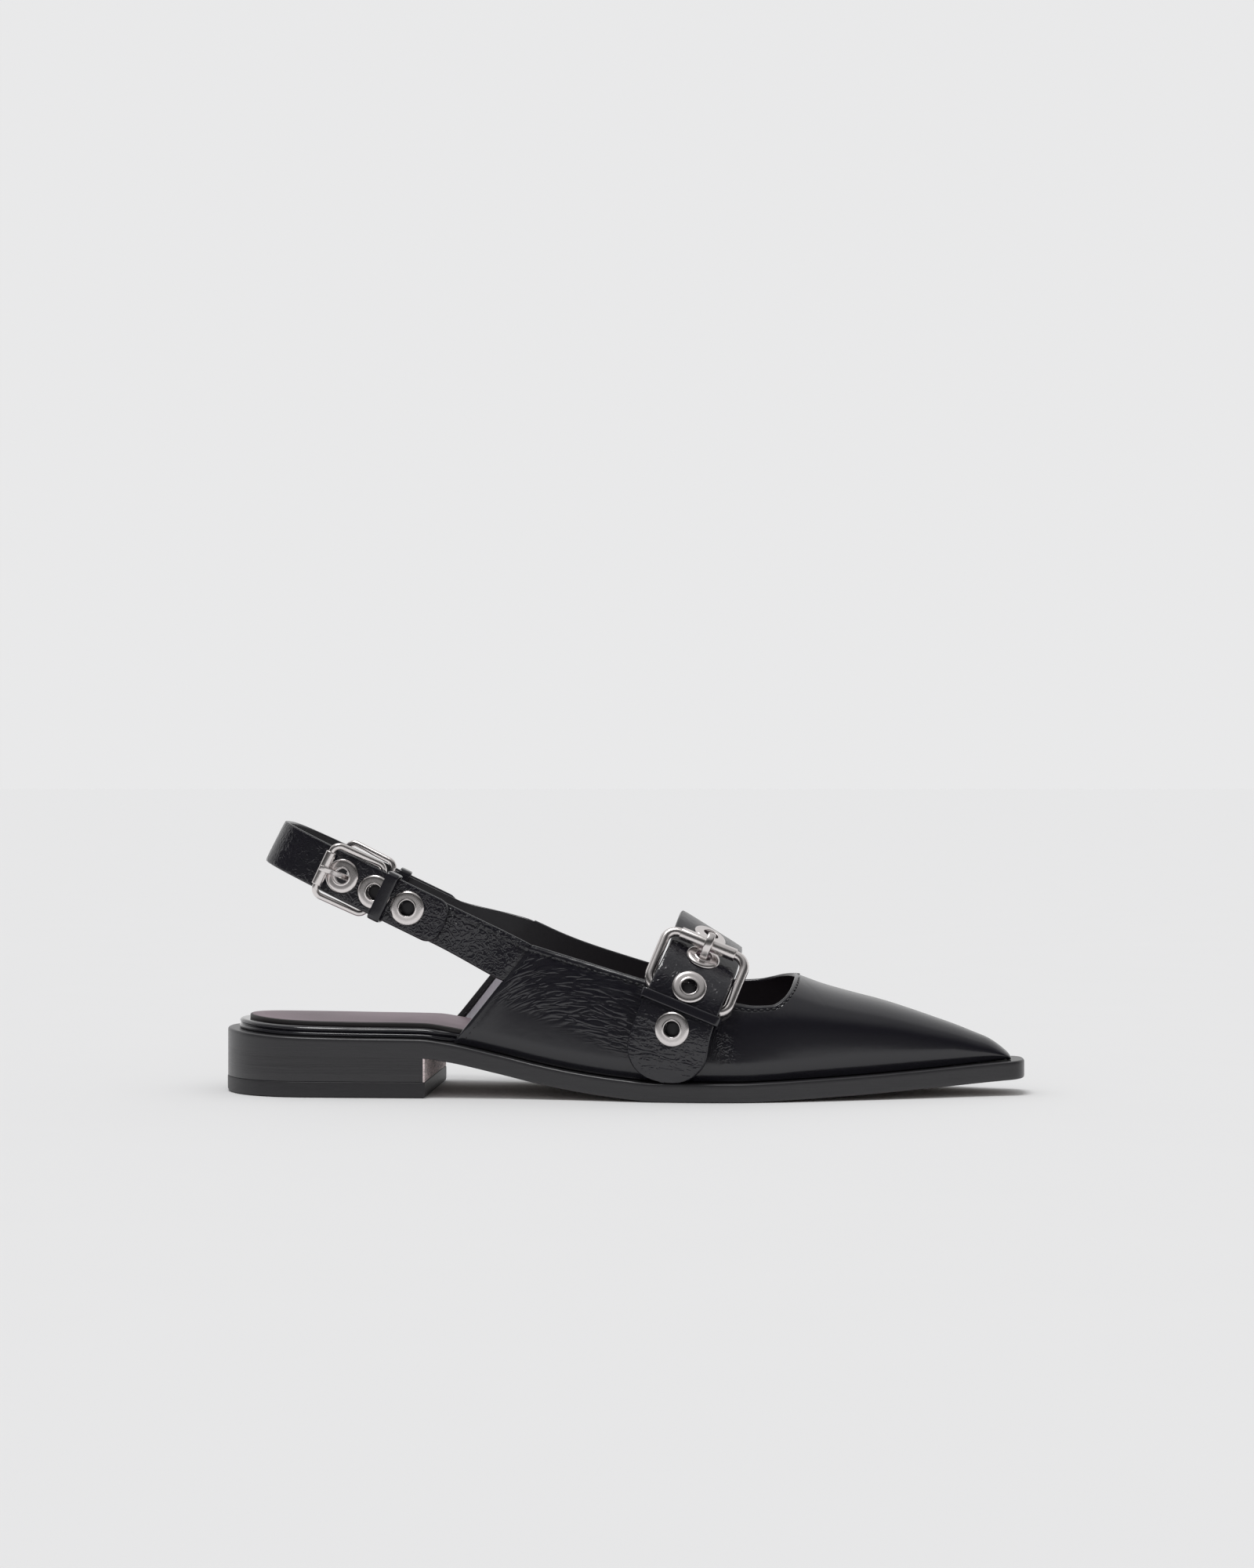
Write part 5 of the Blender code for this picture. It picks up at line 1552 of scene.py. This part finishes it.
@shared
def grey_facing(name):
    """Grey facing leather inside the back edges."""
    made = Finish(name)
    pores = made.noise(made.coords(), 2.0, 4.0, 0.6)
    made.bump(pores, 0.03 * MM, 0.5)
    return made.set({
        "Base Color": made.tones(pores, colours().facing, 0.8), "Roughness": 0.35 + 0.1 * pores,
    })


SOCK_RIM_COLOUR = (0.02, 0.017, 0.018, 1.0)


@shared
def sock_leather(name):
    """Dark plum sock with fine pores, near black along its rim: its side and the outer edge of its top."""
    made = Finish(name)
    pores = made.noise(made.coords(), 2.2, 4.0, 0.6)
    cloud = made.noise(made.coords(), 0.09, 3.0)
    ground = made.tones(cloud, colours().sock, 0.72)
    made.bump(pores, 0.08 * MM, 0.5)
    return made.set({
        "Base Color": made.mix(made.attribute("rim"), ground, SOCK_RIM_COLOUR),
        "Roughness": 0.42 + 0.14 * pores,
    })


@shared
def edge_paint(name):
    """Satin black edge paint with fine marks along the edge."""
    made = Finish(name)
    marks = made.noise(made.coords((0.12, 0.12, 2.2)), 1.0, 3.0, 0.6)
    grain = made.noise(made.coords(), 2.4, 3.0)
    made.bump(marks * 0.7 + grain * 0.5, 0.07 * MM, 0.6)
    return made.set({
        "Base Color": made.tones(marks, colours().edge, 0.7, 1.2),
        "Roughness": 0.34 + 0.14 * grain, "Coat Weight": 0.3, "Coat Roughness": 0.16,
    })


@shared
def stack_paint(name):
    """Painted stack: level lines where the heel's lifts meet, under satin black."""
    made = Finish(name)
    lines = made.noise(made.coords((0.02, 0.02, 1.5)), 1.0, 2.0, 0.7)
    grain = made.noise(made.coords((0.3, 0.3, 2.6)), 1.0, 3.0)
    made.bump(lines * 1.2 + grain * 0.5, 0.12 * MM, 0.7)
    return made.set({
        "Base Color": made.tones(lines, colours().edge, 0.6, 1.15),
        "Roughness": 0.36 + 0.14 * grain, "Coat Weight": 0.3, "Coat Roughness": 0.16,
    })


@shared
def bare_stack(name):
    """Bare leather lifts on the heel breast, mottled and streaked level."""
    made = Finish(name)
    streak = made.noise(made.coords((0.4, 0.4, 1.6)), 1.0, 4.0, 0.65)
    mottle = made.ramp(streak, (0.35, 0.0), (0.65, 1.0))
    made.bump(streak, 0.2 * MM, 0.6)
    return made.set({
        "Base Color": made.tones(mottle, colours().stack, 0.5, 1.2),
        "Roughness": 0.72 + 0.1 * streak,
    })


@shared
def lift_rubber(name):
    """Satin black top piece."""
    made = Finish(name)
    grain = made.noise(made.coords((0.25, 0.25, 1.5)), 1.0, 3.0)
    made.bump(grain, 0.08 * MM, 0.5)
    return made.set({
        "Base Color": made.tones(grain, colours().edge, 0.7, 1.15),
        "Roughness": 0.42 + 0.14 * grain,
    })


@shared
def under_leather(name):
    """Tan sole leather with faint fibres along the foot."""
    made = Finish(name)
    fibre = made.noise(made.coords((0.3, 1.4, 1.0)), 1.0, 4.0, 0.6)
    made.bump(fibre, 0.08 * MM, 0.5)
    return made.set({
        "Base Color": made.tones(fibre, colours().under, 0.7, 1.15),
        "Roughness": 0.4 + 0.15 * fibre,
    })


@shared
def nickel(name):
    """Polished nickel with faint rub marks."""
    made = Finish(name)
    rub = made.noise(made.coords(), 0.8, 4.0, 0.65)
    made.bump(rub, 0.01 * MM, 0.3)
    return made.set({
        "Base Color": (*colours().nickel, 1.0), "Metallic": 1.0, "Roughness": 0.19 + 0.08 * rub,
    })


THREAD_COLOUR = (0.02, 0.02, 0.023, 1.0)


@shared
def thread(name):
    """Waxed black thread with a twist."""
    made = Finish(name)
    twist = made.noise(made.coords(), 4.0, 1.0)
    made.bump(twist, 0.08 * MM, 0.6)
    return made.set({"Base Color": THREAD_COLOUR, "Roughness": 0.24 + 0.1 * twist})


@shared
def pale_floor(name):
    """Pale matt floor without gloss, very faintly clouded."""
    made = Finish(name)
    cloud = made.noise(made.coords(), 0.02, 2.0)
    return made.set({
        "Base Color": made.tones(cloud, bpy.context.scene.shoe_stage.floor, 0.99), "Roughness": 0.95,
        "Specular IOR Level": 0.0,
    })


# Stage

FLOOR_REACH = 60.0
FLOOR_FRONT = 1.5
FLOOR_SIDES = 64
WHITE = (1.0, 1.0, 1.0, 1.0)
LAMP_TILT = (math.radians(9.0), math.radians(-8.0), 0.0)


def studio_light(stage):
    """A soft room: an even fill, one tone for what the camera sees past the floor, and for gloss a room
    bright overhead and behind the shoe and dark in front of it, dim near the horizon. There the brightness
    of a direction is the largest of three smooth steps, two in its height and one in its depth."""
    world = bpy.data.worlds.new("studio")
    world.use_nodes = True
    made = Nodes(world.node_tree)
    place = made.node("ShaderNodeTexCoord", output="Generated")
    bands = (
        ("Y", -0.1, 0.35, stage.backdrop), ("Z", 0.55, 0.9, stage.overhead), ("Z", 0.5, 0.1, stage.horizon),
    )
    bright = None
    for axis, low, high, tone in bands:
        along = made.node("ShaderNodeSeparateXYZ", None, {0: place}, output=axis)
        step = made.node("ShaderNodeMapRange", {"interpolation_type": "SMOOTHSTEP"}, {
            "Value": along, "From Min": low, "From Max": high, "To Min": stage.front, "To Max": tone,
        })
        bright = bright.combine("MAXIMUM", bright, step) if bright else step
    fill = world.node_tree.nodes["Background"]
    made.put(fill.inputs["Color"], WHITE)
    made.put(fill.inputs["Strength"], stage.fill)
    room = made.node("ShaderNodeBackground", None, {"Color": WHITE, "Strength": bright})
    seen = made.node("ShaderNodeBackground", None, {"Color": (*stage.floor, 1.0)})
    light = Shade(made, fill.outputs[0])
    for kind, shown in (("Is Glossy Ray", room), ("Is Camera Ray", seen)):
        ray = made.node("ShaderNodeLightPath", output=kind)
        light = made.node("ShaderNodeMixShader", None, {0: ray, 1: light, 2: shown})
    made.put(world.node_tree.nodes["World Output"].inputs["Surface"], light)
    return world


def build_stage():
    """A wide round floor cut straight in front, the room's light with a lamp, and the camera."""
    stage = bpy.context.scene.shoe_stage
    mesh = bpy.data.meshes.new("stage_floor")
    ring = np.linspace(0, 2 * math.pi, FLOOR_SIDES + 1)[:-1]
    reach = np.array((0.0, 0.5, 1.0))[:, None] * FLOOR_REACH
    deep = np.maximum(reach * np.sin(ring), -FLOOR_FRONT)
    points = np.stack((reach * np.cos(ring), deep, 0 * reach * ring), axis=-1).reshape(-1, 3)
    mesh.from_pydata(points, [], grid_cells(len(reach), FLOOR_SIDES, wrap=True))
    mesh.materials.append(pale_floor())
    floor = bpy.data.objects.new("stage_floor", mesh)
    bpy.context.scene.collection.objects.link(floor)
    weld(mesh)
    bpy.context.scene.world = studio_light(stage)
    light = bpy.data.lights.new("lamp", "SUN")
    light.energy = stage.lamp
    light.angle = stage.lamp_spread
    lamp = bpy.data.objects.new("lamp", light)
    lamp.rotation_euler = LAMP_TILT
    bpy.context.scene.collection.objects.link(lamp)
    data = bpy.data.cameras.new("camera")
    data.lens = stage.lens
    data.clip_end = 2.0 * FLOOR_REACH
    camera = bpy.data.objects.new("camera", data)
    camera.location = stage.camera
    camera.rotation_euler = (math.pi / 2, 0.0, stage.turn)
    bpy.context.scene.collection.objects.link(camera)
    bpy.context.scene.camera = camera
    bpy.context.scene.view_settings.view_transform = "Standard"


# Operators, panel and registration

class SHOE_OT_outsole(bpy.types.Operator):
    """Builds the leather outsole"""

    bl_idname = "shoe.outsole"
    bl_label = "Outsole"
    bl_options = {"REGISTER", "UNDO"}

    def execute(self, context):
        build_outsole()
        return {"FINISHED"}


class SHOE_OT_heel(bpy.types.Operator):
    """Builds the stacked heel and its top piece"""

    bl_idname = "shoe.heel"
    bl_label = "Heel"
    bl_options = {"REGISTER", "UNDO"}

    def execute(self, context):
        build_heel()
        return {"FINISHED"}


class SHOE_OT_footbed(bpy.types.Operator):
    """Builds the wrapped insole and the sock"""

    bl_idname = "shoe.footbed"
    bl_label = "Footbed"
    bl_options = {"REGISTER", "UNDO"}

    def execute(self, context):
        build_footbed()
        return {"FINISHED"}


class SHOE_OT_upper(bpy.types.Operator):
    """Builds the crinkled upper with its lining"""

    bl_idname = "shoe.upper"
    bl_label = "Upper"
    bl_options = {"REGISTER", "UNDO"}

    def execute(self, context):
        build_upper()
        return {"FINISHED"}


class SHOE_OT_stitches(bpy.types.Operator):
    """Sews the rows of stitches on the upper"""

    bl_idname = "shoe.stitches"
    bl_label = "Stitches"
    bl_options = {"REGISTER", "UNDO"}

    def execute(self, context):
        build_stitches()
        return {"FINISHED"}


class SHOE_OT_heel_strap(bpy.types.Operator):
    """Builds the strap round the heel"""

    bl_idname = "shoe.heel_strap"
    bl_label = "Heel strap"
    bl_options = {"REGISTER", "UNDO"}

    def execute(self, context):
        build_heel_strap()
        return {"FINISHED"}


class SHOE_OT_instep_strap(bpy.types.Operator):
    """Builds the strap over the instep and its buckle tab"""

    bl_idname = "shoe.instep_strap"
    bl_label = "Instep strap"
    bl_options = {"REGISTER", "UNDO"}

    def execute(self, context):
        build_instep_strap()
        return {"FINISHED"}


class SHOE_OT_keepers(bpy.types.Operator):
    """Builds the leather keepers"""

    bl_idname = "shoe.keepers"
    bl_label = "Keepers"
    bl_options = {"REGISTER", "UNDO"}

    def execute(self, context):
        build_keepers()
        return {"FINISHED"}


class SHOE_OT_metalwork(bpy.types.Operator):
    """Builds the eyelets, buckle frames, rollers and prongs"""

    bl_idname = "shoe.metalwork"
    bl_label = "Metalwork"
    bl_options = {"REGISTER", "UNDO"}

    def execute(self, context):
        build_metalwork()
        return {"FINISHED"}


class SHOE_OT_stage(bpy.types.Operator):
    """Sets the floor, light and camera"""

    bl_idname = "shoe.stage"
    bl_label = "Stage"
    bl_options = {"REGISTER", "UNDO"}

    def execute(self, context):
        build_stage()
        return {"FINISHED"}


OPERATORS = (
    SHOE_OT_stage, SHOE_OT_outsole, SHOE_OT_heel, SHOE_OT_footbed, SHOE_OT_upper, SHOE_OT_stitches,
    SHOE_OT_heel_strap, SHOE_OT_instep_strap, SHOE_OT_keepers, SHOE_OT_metalwork,
)


class SHOE_PT_panel(bpy.types.Panel):
    """Lists the build steps with the sizes and colours"""

    bl_idname = "SHOE_PT_panel"
    bl_label = "Slingback Shoe"
    bl_space_type = "VIEW_3D"
    bl_region_type = "UI"
    bl_category = "Shoe"

    def draw(self, context):
        for made in OPERATORS:
            self.layout.operator(made.bl_idname)
        for group in (context.scene.shoe_sizes, context.scene.shoe_colours, context.scene.shoe_stage):
            for key in group.__annotations__:
                self.layout.prop(group, key)


CLASSES = (ShoeSizes, ShoeColours, StageSettings, *OPERATORS, SHOE_PT_panel)


def register():
    """Registers the classes and hangs their settings on the scene."""
    for made in CLASSES:
        bpy.utils.register_class(made)
    bpy.types.Scene.shoe_sizes = PointerProperty(type=ShoeSizes)
    bpy.types.Scene.shoe_colours = PointerProperty(type=ShoeColours)
    bpy.types.Scene.shoe_stage = PointerProperty(type=StageSettings)


def unregister():
    """Takes the settings off the scene and the classes out."""
    del bpy.types.Scene.shoe_stage
    del bpy.types.Scene.shoe_colours
    del bpy.types.Scene.shoe_sizes
    for made in reversed(CLASSES):
        bpy.utils.unregister_class(made)


def main():
    """Runs every build step."""
    register()
    for made in OPERATORS:
        group, step = made.bl_idname.split(".")
        getattr(getattr(bpy.ops, group), step)()


if __name__ == "__main__":
    main()
